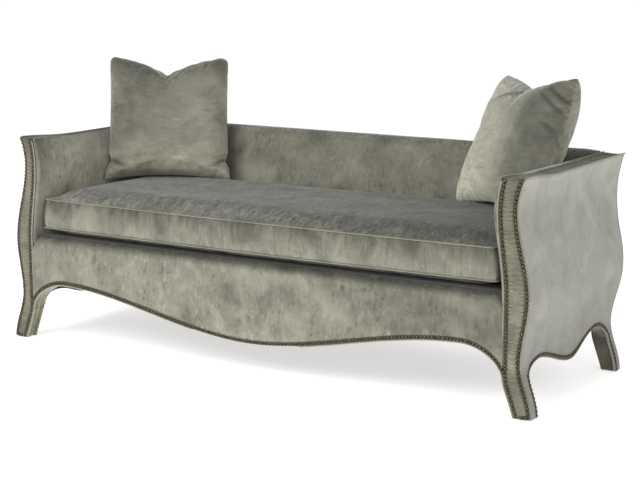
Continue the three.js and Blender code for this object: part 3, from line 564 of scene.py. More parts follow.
def dressPair(piece, material, slot, *stoodFor):
    left = mirrorCopy(piece, piece.name.replace("Right", "Left"))
    dress(piece, material, slot, "frame", *[name + "_right" for name in stoodFor])
    dress(left, material, slot, "frame", *[name + "_left" for name in stoodFor])


# Marks how dark the pile is painted, from 0 to 1, at each point of a cover: where it is pressed and where
# shade is painted
def paintPressAndShade(piece, pressAt):
    layer = piece.data.attributes.new("pressed", "FLOAT", "POINT")
    for vertex, value in zip(piece.data.vertices, layer.data):
        value.value = min(pressAt(*unspot(vertex.co)), 1)


# A smooth noise; `scale` is about the size of its waves
def wander(x, y, z, scale=1):
    return noise.noise(Vector((x, y, z)) / scale)


# Outer side panels
sidePanel = {"wall": 8, "column": 9, "rows": 66, "crown": 1.6, "edge": 0.4, "tuck": 1.2, "ripple": 0.7,
             "front": 1.3, "rearGap": 8.3, "topGap": 6.3, "frontLeg": 46, "rearLeg": 720, "legStep": 7.93,
             "crownReach": 30, "edgeReach": 5, "tuckReach": 5, "rippleSize": 90, "rowOver": 20,
             "crowding": 0.35, "pressAndShadeReach": 7, "pressAndShadeFade": (130, 150),
             "breaks": (28, 46, 52, 70, 140, 620, 696, 714, 720, 738)}
sideEnd = outline["rearLeg"] - sidePanel["rearGap"]


def sideBulge(edge, row):
    s = sidePanel
    rise = s["crown"] * (1 - closeness(edge, s["crownReach"])) - s["edge"] * closeness(edge, s["edgeReach"])
    return rise - s["tuck"] * closeness(row, s["tuckReach"])


# Distance from the nearer of the nail rows down the legs
def legRow(y):
    return min(abs(y - sideWaveFront["leg"]), abs(y - sideWaveRear["leg"]))


def sidePlace(y, t):
    o = outline
    low = sideHeight(y, o["nailInset"])
    shift = share(y, sideWaveRear["dip"], sideEnd)
    high = capTop(y + (o["rearTop"] - o["rearLeg"]) * shift) - sidePanel["topGap"]
    z = lerp(low, high, t)
    edge = min(y - sidePanel["front"], sideEnd - y, high - z)
    row = legRow(y) if z < o["spring"] + sidePanel["rowOver"] else math.inf
    if sidePanel["frontLeg"] < y < sidePanel["rearLeg"]:
        edge, row = min(edge, z - low), z - sideHeight(y)
    x = sideFace(z) + sideBulge(edge, row) + sidePanel["ripple"] * wander(0, y, z, sidePanel["rippleSize"])
    return x, y + (rearFace(z) - o["rearLeg"]) * shift, z


sideColumns = spaced([sidePanel["front"], *sidePanel["breaks"], sideEnd], sidePanel["column"])
panel = layCover("sidePanelRight", sideColumns, rowsOf(sidePanel["rows"], sidePanel["crowding"]), sidePlace)
legHeights = [outline["spring"] - sidePanel["legStep"] * i for i in range(16)]


def sideLegMove(x, y, before, after):
    edge = min(abs(y - sidePanel["rearLeg"]), sideEnd - y)
    if y < 60:
        edge = min(y - sidePanel["front"], abs(sidePanel["frontLeg"] - y))
    return sideFace(after) + sideBulge(edge, legRow(y)), y, after


# Darker along the nail rows: pile pressed by the nails, with painted shade beside them
def sidePressAndShade(x, y, z):
    if sidePanel["frontLeg"] < y < sidePanel["rearLeg"]:
        return closeness(z - sideHeight(y), sidePanel["pressAndShadeReach"])
    return closeness(legRow(y), sidePanel["pressAndShadeReach"]) * (1 - share(z, *sidePanel["pressAndShadeFade"]))


drawDown(panel, lambda x, y: not sidePanel["frontLeg"] + 0.2 < y < sidePanel["rearLeg"] - 0.2,
         legHeights, sideLegMove)
paintPressAndShade(panel, sidePressAndShade)
thicken(panel, sidePanel["wall"])
dressPair(panel, sideVelvet, "side_cover", "side_panel")
print("side panels laid")

# Stile faces, which run on down as the fronts of the legs
stileCover = {"wall": 5, "row": 1.9, "crown": 2.6, "swell": 0.9, "pinch": 0.8, "corner": 3.5,
              "gather": 1.0, "gatherReach": 11, "gatherStep": 12.5, "weltSlot": 6.3, "outerRow": 2.7,
              "gatherStart": 6, "gatherFade": (10, 90), "pinchReach": 4, "top": 756, "topFade": 14,
              "pressAndShadeReach": 7.5,
              "shares": (0, 0.012, 0.03, 0.06, 0.1, 0.14, 0.19, 0.24, 0.29, 0.34, 0.4, 0.46, 0.52, 0.58,
                         0.64, 0.7, 0.76, 0.82, 0.87, 0.91, 0.945, 0.97, 0.99, 1)}


def stilePlace(s, z):
    inner, outer = stileEdge(z), sideFace(z) - stileCover["weltSlot"]
    wide = outer - inner
    d = s * wide
    innerRow, outerRow = outline["nailInset"], wide - stileCover["outerRow"]
    x = inner + d
    proud = stileCover["crown"] * math.sin(math.pi * share(d, innerRow, outerRow)) ** 0.8
    proud += stileCover["swell"] * math.sin(math.pi * share(d, 0, innerRow))
    reach = stileCover["pinchReach"]
    proud -= stileCover["pinch"] * (closeness(d - innerRow, reach) + closeness(d - outerRow, reach))
    corner = stileCover["corner"]
    for edge in (d, wide - d):
        if edge < corner:
            proud -= corner - math.sqrt(max(corner ** 2 - (corner - edge) ** 2, 0))
    for row, seed in ((innerRow, 3), (outerRow, 11)):
        turn = z / stileCover["gatherStep"] + 0.8 * wander(seed, z / 40, 0.03 * d)
        fold = math.sin(2 * math.pi * turn) * (0.75 + 0.9 * wander(seed + 5, z / 26, 0))
        near = closeness(abs(d - row) - stileCover["gatherStart"], stileCover["gatherReach"])
        proud += stileCover["gather"] * fold * near * share(z, *stileCover["gatherFade"])
    proud *= math.sqrt(share(stileCover["top"] - z, 0, stileCover["topFade"]))
    return x, stileFront(x, z) - proud, z


stileRows = spaced([outline["hem"], stileCover["top"]], stileCover["row"])
stile = layCover("stileCoverRight", stileCover["shares"], stileRows, stilePlace)
# Darker along both nail rows: pile pressed by the nails, with painted shade beside them
paintPressAndShade(stile, lambda x, y, z: closeness(x - stileEdge(z) - outline["nailInset"], stileCover["pressAndShadeReach"])
          + closeness(sideFace(z) - outline["nailInset"] - x, stileCover["pressAndShadeReach"]))
thicken(stile, stileCover["wall"], 0)
dressPair(stile, stileVelvet, "cover", "stile_cover")
print("stiles laid")

# Leg covers: the faces that look under the sofa
legCover = {"wall": 4.5, "row": 5, "round": 9, "outerGap": 9.3, "back": 47.5, "behind": 6, "top": 122.2,
            "rearIn": 43.6, "rearOut": 8.3, "rearTop": 196}


def legSection(z, rear):
    inner, outer = stileEdge(z), sideFace(z) - legCover["outerGap"]
    r = legCover["round"]
    arc = [(r * (1 - math.sin(a)), r * (1 - math.cos(a))) for a in (math.pi / 2 * i / 4 for i in range(5))]
    if rear:
        face, end = outline["rearLeg"] - legCover["rearIn"], outline["rearLeg"] - legCover["rearOut"]
        corner = [(inner + b, face + a) for a, b in arc]
    else:
        face, end = legCover["back"], stileFront(inner, z) + legCover["behind"]
        corner = [(inner + a, face - b) for a, b in arc]
    section = [(outer, face), (lerp(inner, outer, 0.6), face), *corner[::-1],
               (inner, lerp(end, face, 0.5)), (inner, end)]
    return section[::-1] if rear else section


for rear, name, high in ((False, "front", legCover["top"]), (True, "rear", legCover["rearTop"])):
    legRows = spaced([outline["hem"], high], legCover["row"])
    legPiece = layCover(name + "LegCoverRight", range(len(legSection(high, rear))), legRows,
                        lambda i, z: (*legSection(z, rear)[i], z))
    thicken(legPiece, legCover["wall"], 0)
    dressPair(legPiece, legVelvet, "cover", name + "_leg_cover")

# Linings turned up under the arches, on from the legs' inner faces
archLining = {"wall": 2.5, "lower": 8.9, "front": -6, "back": 50, "reach": 330,
              "sideOut": 7, "sideIn": 976, "sideReach": 150}


def layLining(name, line, place):
    lining = layCover(name, range(len(line)), [i / 6 for i in range(7)], lambda i, t: place(*line[i], t))
    thicken(lining, -archLining["wall"], 0)
    dressPair(lining, legVelvet, "cover")


archLine = [(x, z) for x, z in waveLine(apronWave, archLining["lower"]) if x > archLining["reach"]]
layLining("archLiningRight", archLine,
          lambda x, z, t: (x, lerp(archLining["front"], archLining["back"], t), z))
for name, wave in (("Front", sideWaveFront), ("Rear", sideWaveRear)):
    sideLine = [(y, z) for y, z in waveLine(wave, archLining["lower"])
                if abs(y - wave["dip"]) > archLining["sideReach"]]
    if name == "Front":
        sideLine.reverse()
    layLining(f"sideLining{name}Right", sideLine,
              lambda y, z, t: (lerp(sideFace(z) - archLining["sideOut"], archLining["sideIn"], t), y, z))
print("leg covers laid")

# Front apron, with the deck's rolled edge
apron = {"wall": 5.5, "column": 10, "breaks": (815, 915, 940, 956, 961.7), "roll": 30, "deckDepth": 108,
         "hem": 3.3, "crown": 1.6, "ripple": 1.1, "wrinkle": 0.5, "tuck": 1.8, "endDrop": 34,
         "endReach": 48, "darkening": 0.2,
         "crownReach": 25, "rippleSize": 120, "wrinkleSize": 34, "tuckReach": 6, "hemFade": 14,
         "dropFade": (16, 75), "darkeningReach": (250, 750), "pressAndShadeReach": 8,
         # the shade on its upper part, which deepens to the right
         "shade": 0.27, "shadeHeights": (200, 300), "shadeReach": (-500, -150),
         # the cushion's shade on the roll: the heights where it starts and is full, left and right
         "rollLow": 330, "rollFrom": (375, 366), "rollTo": (397, 392), "rollReach": (-600, 300)}


# How far the roll's ends turn down into the arms
def endDrop(x):
    half = apron["breaks"][-1]
    near = share(abs(x), half - apron["endReach"], half)
    return apron["endDrop"] * (1 - math.sqrt(1 - near ** 2))


def apronFace(x, z):
    low = apronHeight(x, apron["hem"])
    a = apron
    proud = a["crown"] * (1 - closeness(z - low, a["crownReach"]))
    proud += a["ripple"] * wander(x, 0, z, a["rippleSize"]) + a["wrinkle"] * wander(x, 5, z, a["wrinkleSize"])
    proud -= a["tuck"] * closeness(z - low - a["hem"], a["tuckReach"])
    return -outline["apronFront"] - proud * share(z, low, low + a["hemFade"])


def apronPlace(x, t):
    o = outline
    low = apronHeight(x, apron["hem"])
    rollLow = o["deckHeight"] - apron["roll"]
    if t <= 1:
        z = lerp(low, rollLow - endDrop(x), t)
        return x, apronFace(x, z), z
    if t <= 2:
        a = math.pi / 2 * (t - 1)
        proud = (apronFace(x, rollLow) + o["apronFront"]) * (2 - t)
        z = rollLow - endDrop(x) + apron["roll"] * math.sin(a)
        return x, apron["roll"] * (1 - math.cos(a)) - o["apronFront"] + proud, z
    y = lerp(apron["roll"] - o["apronFront"], apron["deckDepth"], t - 2)
    return x, y, o["deckHeight"] - endDrop(x) * (1 - ease(share(y, *apron["dropFade"])))


apronRows = rowsOf(30, 0.5) + [1 + i / 8 for i in range(1, 9)] + [2 + i / 6 for i in range(1, 7)]
front = layCover("frontApron", spaced(bothWays(apron["breaks"], 0), apron["column"]), apronRows, apronPlace)


# Darker under the nails, pressed pile with painted shade, and darker towards the arms;
# painted shade on the upper part and where the cushion shades the roll
def apronPressAndShade(x, y, z):
    darkening = apron["darkening"] * ease(share(abs(x), *apron["darkeningReach"]))
    darkening += apron["shade"] * ease(share(z, *apron["shadeHeights"])) * share(x, *apron["shadeReach"])
    if z < apron["rollLow"]:
        return max(darkening, closeness(z - apronHeight(x), apron["pressAndShadeReach"]))
    along = share(x, *apron["rollReach"])
    shaded = share(z + endDrop(x), lerp(*apron["rollFrom"], along), lerp(*apron["rollTo"], along))
    return max(darkening, ease(shaded))


paintPressAndShade(front, apronPressAndShade)
thicken(front, apron["wall"])
dress(front, frontVelvet, "cover", "frame", "front_apron", "edge_roll")
print("apron laid")

# Deck pad under the cushion, in plain lining with a tape seam along the apron's cover
deckPad = {"wall": 29, "sag": 2.5, "breaks": (950, 961), "depths": (110.5, 122, 710, 721.5),
           "under": 0.3, "seam": 2, "seamReach": 7, "sagReach": 120, "sagSize": 150, "steps": (22, 14)}


def deckPlace(x, y):
    half, near, far = deckPad["breaks"][-1], deckPad["depths"][0], deckPad["depths"][-1]
    inward = min(half - abs(x), y - near, far - y)
    level = outline["deckHeight"] - deckPad["under"]
    level -= deckPad["seam"] * closeness(inward, deckPad["seamReach"])
    sag = deckPad["sag"] * (1 - closeness(inward, deckPad["sagReach"]))
    return x, y, level - sag * (0.6 + 0.5 * wander(x, y, 0, deckPad["sagSize"]))


deckColumns = spaced(bothWays(deckPad["breaks"]), deckPad["steps"][0])
deck = layCover("deckPad", deckColumns, spaced(deckPad["depths"], deckPad["steps"][1]), deckPlace)
thicken(deck, deckPad["wall"], 3)
dress(deck, deckLining, "padding", "frame", "deck_pad")

# Inside arms, whose padding turns round the front edge
insideArm = {"wall": 11, "round": 11, "crown": 2.2, "ripple": 0.9, "low": 398.5, "top": 756,
             "tuck": 33, "tuckReach": 0.12, "stileGap": 3.5, "frontGap": 5.5, "rearGap": 8.5, "bulge": 1.5,
             "fade": 40, "rippleSize": 110}


def armPlace(s, t):
    low = insideArm["low"] - insideArm["tuck"] * (1 - ease(share(s, 0, insideArm["tuckReach"])))
    z = lerp(low, insideArm["top"], t)
    face, edge = armFace(z), stileEdge(z) - insideArm["stileGap"]
    start = stileFront(stileEdge(z), z) + insideArm["frontGap"]
    r = insideArm["round"]
    if s < 0:
        a = math.pi / 2 * (1 + s)
        y = start + r * (1 - math.cos(a)) - insideArm["bulge"] * math.sin(2 * a)
        return edge - (edge - face) * math.sin(a), y, z
    y = lerp(start + r, rearFace(z) - insideArm["rearGap"], s)
    edgeFade = 1 - closeness(min(z - low, insideArm["top"] - z), insideArm["fade"])
    out = insideArm["crown"] * edgeFade * math.sin(math.pi * share(s, 0, 1)) ** 0.5
    ripple = insideArm["ripple"] * wander(3, y, z, insideArm["rippleSize"])
    return face - out - ripple * edgeFade, y, z


# Columns are closest where the padding turns and where it is tucked in
armColumns = [-1 + i / 8 for i in range(8)] + [0.01 * i for i in range(14)] + [i / 60 for i in range(9, 61)]
arm = layCover("insideArmRight", armColumns, [i / 42 for i in range(43)], armPlace)
turnOver(arm)
thicken(arm, insideArm["wall"])
dressPair(arm, armVelvet, "cover", "inside_arm")

# The narrow pieces along the arms' tops
armTop = {"wall": 4, "inner": 944.4, "outer": 1013.6, "front": 6, "sag": 2.2, "drop": 1.6, "rim": 1.2,
          "rimShare": 0.08, "sagSize": 60, "overhang": 1.2, "pressed": 6, "pressAndShadeReach": 7}


def armTopPlace(s, y):
    x = lerp(armTop["inner"], armTop["outer"], s)
    start = lerp(-outline["innerProudTop"], -outline["outerProud"], s)
    sag = armTop["sag"] * math.sin(math.pi * s) * (1 - wander(x, y * 800, 0, armTop["sagSize"]))
    rim = armTop["rim"] * (closeness(s, armTop["rimShare"]) + closeness(1 - s, armTop["rimShare"]))
    if y < 0:
        a = math.pi / 2 * (1 + y)
        r = armTop["front"]
        z = outline["armHeight"] - armTop["drop"] - rim - r + r * math.sin(a)
        return x, start + r * (1 - math.cos(a)) - armTop["overhang"], z
    place = lerp(start + armTop["front"], outline["rearTop"], y)
    return x, place, capTop(place) - armTop["drop"] - rim - sag


top = layCover("armTopRight", [i / 12 for i in range(13)],
               [-1 + i / 6 for i in range(6)] + [i / 90 for i in range(91)], armTopPlace)
# Painted shade along the cap's edges beside the welts
paintPressAndShade(top, lambda x, y, z: closeness(
    min(x - armTop["inner"], armTop["outer"] - x) - armTop["pressed"], armTop["pressAndShadeReach"]))
thicken(top, armTop["wall"], 0)
dressPair(top, capVelvet, "cover", "arm_cap")
print("arms laid")

# Inside of the back, which rolls over at the top
insideBack = {"wall": 33, "topShare": 0.34, "columns": 67, "crown": 5, "ripple": 1.4, "settle": 3.5,
              "low": 398.6, "faceLow": 722, "faceHigh": 752, "bend": 530, "rollLow": 735, "top": 766,
              "rollBack": 787, "topBack": 807, "rear": 842, "rearTop": 755, "armTop": 759, "sideReach": 26,
              "rippleSize": 170, "settleSize": 210, "roughness": 0.9}


def backLine(t):
    b = insideBack
    if t <= 1:
        return b["faceLow"], lerp(b["low"], b["bend"], t)
    if t <= 2:
        return lerp(b["faceLow"], b["faceHigh"], t - 1), lerp(b["bend"], b["rollLow"], t - 1)
    if t <= 3:
        a = math.pi / 2 * (t - 2)
        return lerp(b["rollBack"], b["faceHigh"], math.cos(a)), lerp(b["rollLow"], b["top"], math.sin(a))
    if t <= 4:
        return lerp(b["rollBack"], b["topBack"], t - 3), b["top"]
    return lerp(b["topBack"], b["rear"], t - 4), lerp(b["top"], b["rearTop"], ease(t - 4))


def backPlace(s, t):
    b = insideBack
    y, z = backLine(t)
    half = armFace(min(z, b["armTop"])) - 1
    x = s * half
    side = 1 - closeness(half - abs(x), b["sideReach"])
    out = side * (b["crown"] * math.sin(math.pi * share(t, 0.3, 2.9)) ** 0.7
                  + b["ripple"] * wander(x, 9, z, b["rippleSize"])) * share(3 - t, 0, 0.4)
    settle = b["settle"] * (1 - side) - 2 + b["roughness"] * wander(x, y, 3, b["settleSize"])
    return x, y - out, z - settle * share(t, 2.2, 3)


backShares = [i / insideBack["columns"] for i in range(-insideBack["columns"], insideBack["columns"] + 1)]
backRows = [i / 10 for i in range(31)] + [3 + i / 4 for i in range(1, 9)]
inside = layCover("insideBack", backShares, backRows, backPlace)
padding = inside.vertex_groups.new(name="padding")
for vertex in inside.data.vertices:
    low = share(unspot(vertex.co)[1], insideBack["faceHigh"], insideBack["topBack"])
    padding.add([vertex.index], lerp(1, insideBack["topShare"], low), "REPLACE")
thicken(inside, insideBack["wall"], 1.5, "padding")
dress(inside, backVelvet, "cover", "frame", "inside_back")

# Outside of the back. Beyond `square` its columns follow the sides' S-curve.
outsideBack = {"wall": 7, "column": 12, "crown": 1.2, "ripple": 0.8, "top": 751.2, "drop": 30,
               "gap": 0.4, "square": 900, "breaks": (815, 930, 950), "sink": 0.5, "legSink": 0.2,
               "rows": 60, "crowding": 0.35, "crownReach": 26, "rippleSize": 140}
rearHalf = sideFace(outline["spring"]) - outsideBack["gap"]
legIn = stileEdge(outline["spring"])


def rearPlace(across, t):
    b = outsideBack
    low = apronHeight(across, outline["nailInset"], b["drop"])
    z = lerp(low, b["top"], t)
    half = sideFace(z) - b["gap"]
    x = abs(across)
    if x > b["square"]:
        x = lerp(b["square"], half, share(x, b["square"], rearHalf))
    edge = min(z - low, b["top"] - z, half - x)
    x = math.copysign(x, across)
    out = b["crown"] * (1 - closeness(edge, b["crownReach"]))
    out += b["ripple"] * wander(x, 21, z, b["rippleSize"])
    return x, rearFace(z) + out - b["sink"], z


def rearLegMove(x, y, before, after):
    gap = outsideBack["gap"]
    across = share(abs(x), stileEdge(before), sideFace(before) - gap)
    reach = lerp(stileEdge(after), sideFace(after) - gap, across)
    return math.copysign(reach, x), rearFace(after) - outsideBack["legSink"], after


rearColumns = spaced(bothWays([*outsideBack["breaks"], legIn, rearHalf]), outsideBack["column"])
rearRows = rowsOf(outsideBack["rows"], outsideBack["crowding"])
rear = layCover("outsideBack", rearColumns, rearRows, rearPlace)
drawDown(rear, lambda x, y: abs(x) > legIn - 0.4, legHeights, rearLegMove)
turnOver(rear)
thicken(rear, outsideBack["wall"])
dress(rear, backVelvet, "cover", "frame", "outside_back")
print("back laid")

# Welts: cord in a strip of the cover, sewn into the seams
weltCord = {"stile": 3.0, "arm": 3.5, "apron": 3.9, "seam": 2.5, "cushion": 2.7, "step": 7,
            "unevenness": 0.05, "inset": 3, "front": -2.2, "innerFront": -17, "lower": 8.8, "drop": 1.6,
            # the arm welts' first turn, as (y, z) behind their front ends
            "turn": ((0, 752.7), (0.3, 756.5), (3, 759.6))}


def layWelt(name, line, radius, closed=False):
    deselect()
    bpy.ops.curve.primitive_bezier_curve_add()
    piece = bpy.context.object
    piece.name = name
    curve = piece.data
    curve.dimensions = "3D"
    curve.splines.clear()
    spline = curve.splines.new("POLY")
    spline.points.add(len(line) - 1)
    for point, place in zip(spline.points, line):
        point.co = (*place, 1)
        point.radius = 1 + weltCord["unevenness"] * noise.noise(place * 60)
    spline.use_cyclic_u = closed
    curve.bevel_depth = radius / 1000
    curve.bevel_resolution = 2
    curve.use_fill_caps = not closed
    bpy.ops.object.convert(target="MESH")
    bpy.ops.object.shade_smooth()
    return bpy.context.object


rungs = spaced([outline["hem"], 752.5], weltCord["step"])
stileLine = [spot(sideFace(z) - weltCord["inset"], weltCord["front"], z) for z in rungs]
dressPair(layWelt("stileWeltRight", stileLine, weltCord["stile"]), weltVelvet, "welt", "stile_welt")


def armWeltLine(x, front):
    run = spaced([front + 8, 60, 250, outline["rearTop"] - 1], 12)
    return [spot(x, front + y, z) for y, z in weltCord["turn"]] + [
        spot(x, y, capTop(y) - weltCord["drop"]) for y in run]


armOut = sideFace(outline["armHeight"]) - weltCord["inset"]
armIn = armFace(outline["armHeight"]) + weltCord["inset"]
for name, x, ahead in (("outer", armOut, weltCord["front"]), ("inner", armIn, weltCord["innerFront"])):
    armWelt = layWelt("armWelt" + name.title() + "Right", armWeltLine(x, ahead), weltCord["arm"])
    dressPair(armWelt, weltVelvet, "welt", "arm_welt_" + name)

seamLine = [spot(stileEdge(z) - 1.5, stileFront(stileEdge(z), z) + 1.2, z)
            for z in spaced([160, 752], weltCord["step"])]
dressPair(layWelt("seamWeltRight", seamLine, weltCord["seam"]), weltVelvet, "welt")
apronLine = [(stileEdge(z) - 2.4, z) for z in spaced([outline["hem"], 124], weltCord["step"])]
apronLine += [(x, z) for x, z in waveLine(apronWave, weltCord["lower"]) if z > 128]
apronLine += [(-x, z) for x, z in apronLine[-2::-1]]
apronWelt = layWelt("apronWelt", [spot(x, lerp(-7, 3 - outline["apronFront"], share(z, 60, 170)), z)
                                  for x, z in apronLine], weltCord["apron"])
dress(apronWelt, weltVelvet, "welt", "frame", "apron_welt")
print("welts laid")

# Domed nails, one modelled and the rest copied
nailHead = {"radius": 7.1, "dome": 5.2, "pitch": 13.4, "tilt": 0.05, "spin": 2.4, "sink": 0.4, "foot": 9.2,
            "top": 752, "innerLow": 157}
deselect()
bpy.ops.mesh.primitive_uv_sphere_add(segments=10, ring_count=6, radius=1)
nailModel = bpy.context.object
edit(lambda: bpy.ops.mesh.bisect(plane_co=(0, 0, 0), plane_no=(0, 0, 1), clear_inner=True, use_fill=True))
for vertex in nailModel.data.vertices:
    wide = nailHead["radius"] / 1000
    vertex.co = Vector((vertex.co.x * wide, vertex.co.y * wide, vertex.co.z * nailHead["dome"] / 1000))
bpy.ops.object.shade_smooth_by_angle(angle=math.radians(60))


# Points evenly spaced along a line, a nail's pitch apart
def alongLine(line):
    lengths = [0]
    for before, after in zip(line, line[1:]):
        lengths.append(lengths[-1] + math.dist(before, after))
    count = round(lengths[-1] / nailHead["pitch"])
    places, k = [], 0
    for i in range(count + 1):
        target = lengths[-1] * i / count
        while k < len(lengths) - 2 and lengths[k + 1] < target:
            k += 1
        t = (target - lengths[k]) / (lengths[k + 1] - lengths[k])
        places.append(tuple(lerp(a, b, t) for a, b in zip(line[k], line[k + 1])))
    return places


# A joined row of nails; `settle` gives the place and outward direction of each
def nailRow(name, line, settle):
    copies = []
    for i, at in enumerate(alongLine(line)):
        place, out = settle(*at)
        lean = nailHead["tilt"] * noise.noise_vector(place * 90)
        turned = Vector((0, 0, 1)).rotation_difference((out.normalized() + lean).normalized())
        spun = Matrix.Rotation(i * nailHead["spin"], 4, "Z")
        copies.append(placeCopy(nailModel, place, turned.to_matrix().to_4x4() @ spun))
    return joinAll(copies, name)


def frontNail(x, z):
    reach = abs(x)
    inner, outer = stileEdge(z), sideFace(z) - stileCover["weltSlot"]
    cant = (stileFront(outer, z) - stileFront(inner, z)) / (outer - inner)
    if reach >= inner:
        surface = stilePlace((reach - inner) / (outer - inner), z)[1]
    else:
        surface, cant = min(apronFace(x, z), stileFront(inner, z) + 3), 0
    return spot(x, surface - nailHead["sink"], z), Vector((math.copysign(cant, x), -1, 0))


def sideNail(y, z):
    slope = (sideFace(z + 5) - sideFace(z - 5)) / 10
    x = sideFace(z) + sideBulge(9, 0) + sidePanel["ripple"] * wander(0, y, z, sidePanel["rippleSize"]) + 0.2
    return spot(x, y, z), Vector((1, 0, -slope))


foot, inset = nailHead["foot"], outline["nailInset"]
rungs = spaced([foot, 122, nailHead["top"]], 4)
outerRow = [(sideFace(z) - inset, z) for z in reversed(rungs)] + [(stileEdge(foot) + 3 * inset, foot)]
innerRow = [(stileEdge(z) + inset, z) for z in spaced([nailHead["innerLow"], nailHead["top"]], 4)]
for name, line in (("Outer", outerRow), ("Inner", innerRow)):
    row = nailRow(f"stileNails{name}Right", line, frontNail)
    dressPair(row, agedBronze, "nails", "stile_nails_" + name.lower())

kneeRow = [(stileEdge(z) + inset, z) for z in spaced([foot, outline["spring"] - 3], 3)]
halfRow = kneeRow + waveLine(apronWave)
apronNails = nailRow("apronNails", halfRow + [(-x, z) for x, z in halfRow[-2::-1]], frontNail)
dress(apronNails, agedBronze, "nails", "frame", "apron_nails")
sideRow = [(sideWaveFront["leg"], foot), *waveLine(sideWaveFront), *waveLine(sideWaveRear)[-2::-1],
           (sideWaveRear["leg"], foot)]
dressPair(nailRow("sideNailsRight", sideRow, sideNail), agedBronze, "nails", "side_nails")
bpy.data.objects.remove(nailModel)
print("nails driven")


# Lets a sewn and filled case swell: its seams stay put and no point moves further than `cap`
def fillOut(piece, seam, fill):
    held = piece.vertex_groups.new(name="seam")
    held.add([v.index for v in piece.data.vertices if seam(v.co)], 1, "REPLACE")
    before = [v.co.copy() for v in piece.data.vertices]
    pick(piece)
    cloth = piece.modifiers.new("cloth", "CLOTH").settings
    cloth.quality = 5
    cloth.mass = 0.3
    cloth.tension_stiffness = cloth.compression_stiffness = fill["stiffness"]
    cloth.shear_stiffness = fill["stiffness"] / 3
    cloth.bending_stiffness = fill["bending"]
    cloth.use_pressure = True
    cloth.uniform_pressure_force = fill["pressure"]
    cloth.shrink_min = -fill["spare"]
    cloth.effector_weights.gravity = 0
    cloth.vertex_group_mass = "seam"
    for at in range(1, 21):
        bpy.context.scene.frame_set(at)
    bpy.ops.object.modifier_apply(modifier="cloth")
    bpy.context.scene.frame_set(1)
    cap = fill["cap"] / 1000
    for vertex, start in zip(piece.data.vertices, before):
        move = vertex.co - start
        if move.length > 1e-7:
            vertex.co = start + move * (cap * math.tanh(move.length / cap) / move.length)
    piece.vertex_groups.clear()


def smoothOver(piece):
    finer = piece.modifiers.new("finer", "SUBSURF")
    finer.levels = finer.render_levels = 1
    applyAll(piece)
    bpy.ops.object.shade_smooth()


def weld(name, *sheets):
    case = joinAll(sheets, name)
    edit(lambda: bpy.ops.mesh.remove_doubles(threshold=0.0001),
         lambda: bpy.ops.mesh.normals_make_consistent(inside=False))
    return case


# A point's place, rounded so that points that lie together give the same key
def placeKey(co):
    return tuple(round(c, 5) for c in co)


# Rounds the corners of a rectangle that reaches out to `wide` and `deep`
def rounded(x, y, wide, deep, corner):
    a, b = (abs(x) - wide + corner) / corner, (abs(y) - deep + corner) / corner
    if a > 0 and b > 0:
        a, b = a * math.sqrt(1 - b * b / 2), b * math.sqrt(1 - a * a / 2)
        x = math.copysign(wide - corner + a * corner, x)
        y = math.copysign(deep - corner + b * corner, y)
    return x, y


# Seat cushion. Insets are measured in from its plan's edge.
seat = {"half": 914.6, "front": 10, "back": 713, "bow": 18, "corner": 9, "weltLow": 427.5, "weltHigh": 534,
        "crown": 36, "flare": 12, "reach": 130, "under": 398.7, "swell": 4, "dent": 2.5,
        "edgeInset": 6.3, "edgeRise": 3.2, "seamInset": 5.6, "boxingInset": 3.2, "boxingGaps": (3.6, 5.6),
        "weltInset": 2.9, "stroke": 0.55, "darkening": (0.5, 0.16), "brushed": 0.5, "lee": 0.42,
        "columns": 138, "rows": 53, "dentSizes": (260, 90), "strokeHeights": (470, 530),
        "leeReach": (-100, 800), "darkeningReach": (-900, 900),
        "fill": {"stiffness": 12, "bending": 0.4, "pressure": 3.5, "spare": 0.025, "cap": 6}}


def seatPlan(u, v, inset, low=0):
    wide, middle = seat["half"] - inset + seat["flare"] * low, (seat["front"] + seat["back"]) / 2
    deep = (seat["back"] - seat["front"]) / 2 - inset
    x, y = rounded(u * wide, v * deep, wide, deep, max(seat["corner"] - inset, 4))
    if v < 0:
        y += seat["bow"] * v * (1 - (x / wide) ** 2)
    return x, middle + y


# How far a point has risen from the seam towards the crown, from 0 to 1
def seatRise(u, v):
    inward = min((1 - abs(u)) * seat["half"], (1 - abs(v)) * (seat["back"] - seat["front"]) / 2)
    return math.sin(math.pi / 2 * min(inward / seat["reach"], 1))


def seatTop(u, v):
    x, y = seatPlan(u, v, seat["edgeInset"])
    broad, fine = seat["dentSizes"]
    dent = seat["dent"] * wander(x, y, 40, broad) + 0.5 * seat["dent"] * wander(x, y, 80, fine)
    crown = seat["crown"] - seat["edgeRise"] + dent
    return x, y, seat["weltHigh"] + seat["edgeRise"] + crown * seatRise(u, v)


def seatUnder(u, v):
    x, y = seatPlan(u, v, seat["edgeInset"], 1)
    return x, y, lerp(seat["weltLow"] - seat["edgeRise"], seat["under"], seatRise(u, v))


seatShares = [(2 * i / seat["columns"] - 1) for i in range(seat["columns"] + 1)]
seatDepths = [(2 * i / seat["rows"] - 1) for i in range(seat["rows"] + 1)]
seatPiece = layCover("seatCushion", seatShares, seatDepths, seatTop)
seatBase = layCover("seatUnder", seatShares, seatDepths, seatUnder)

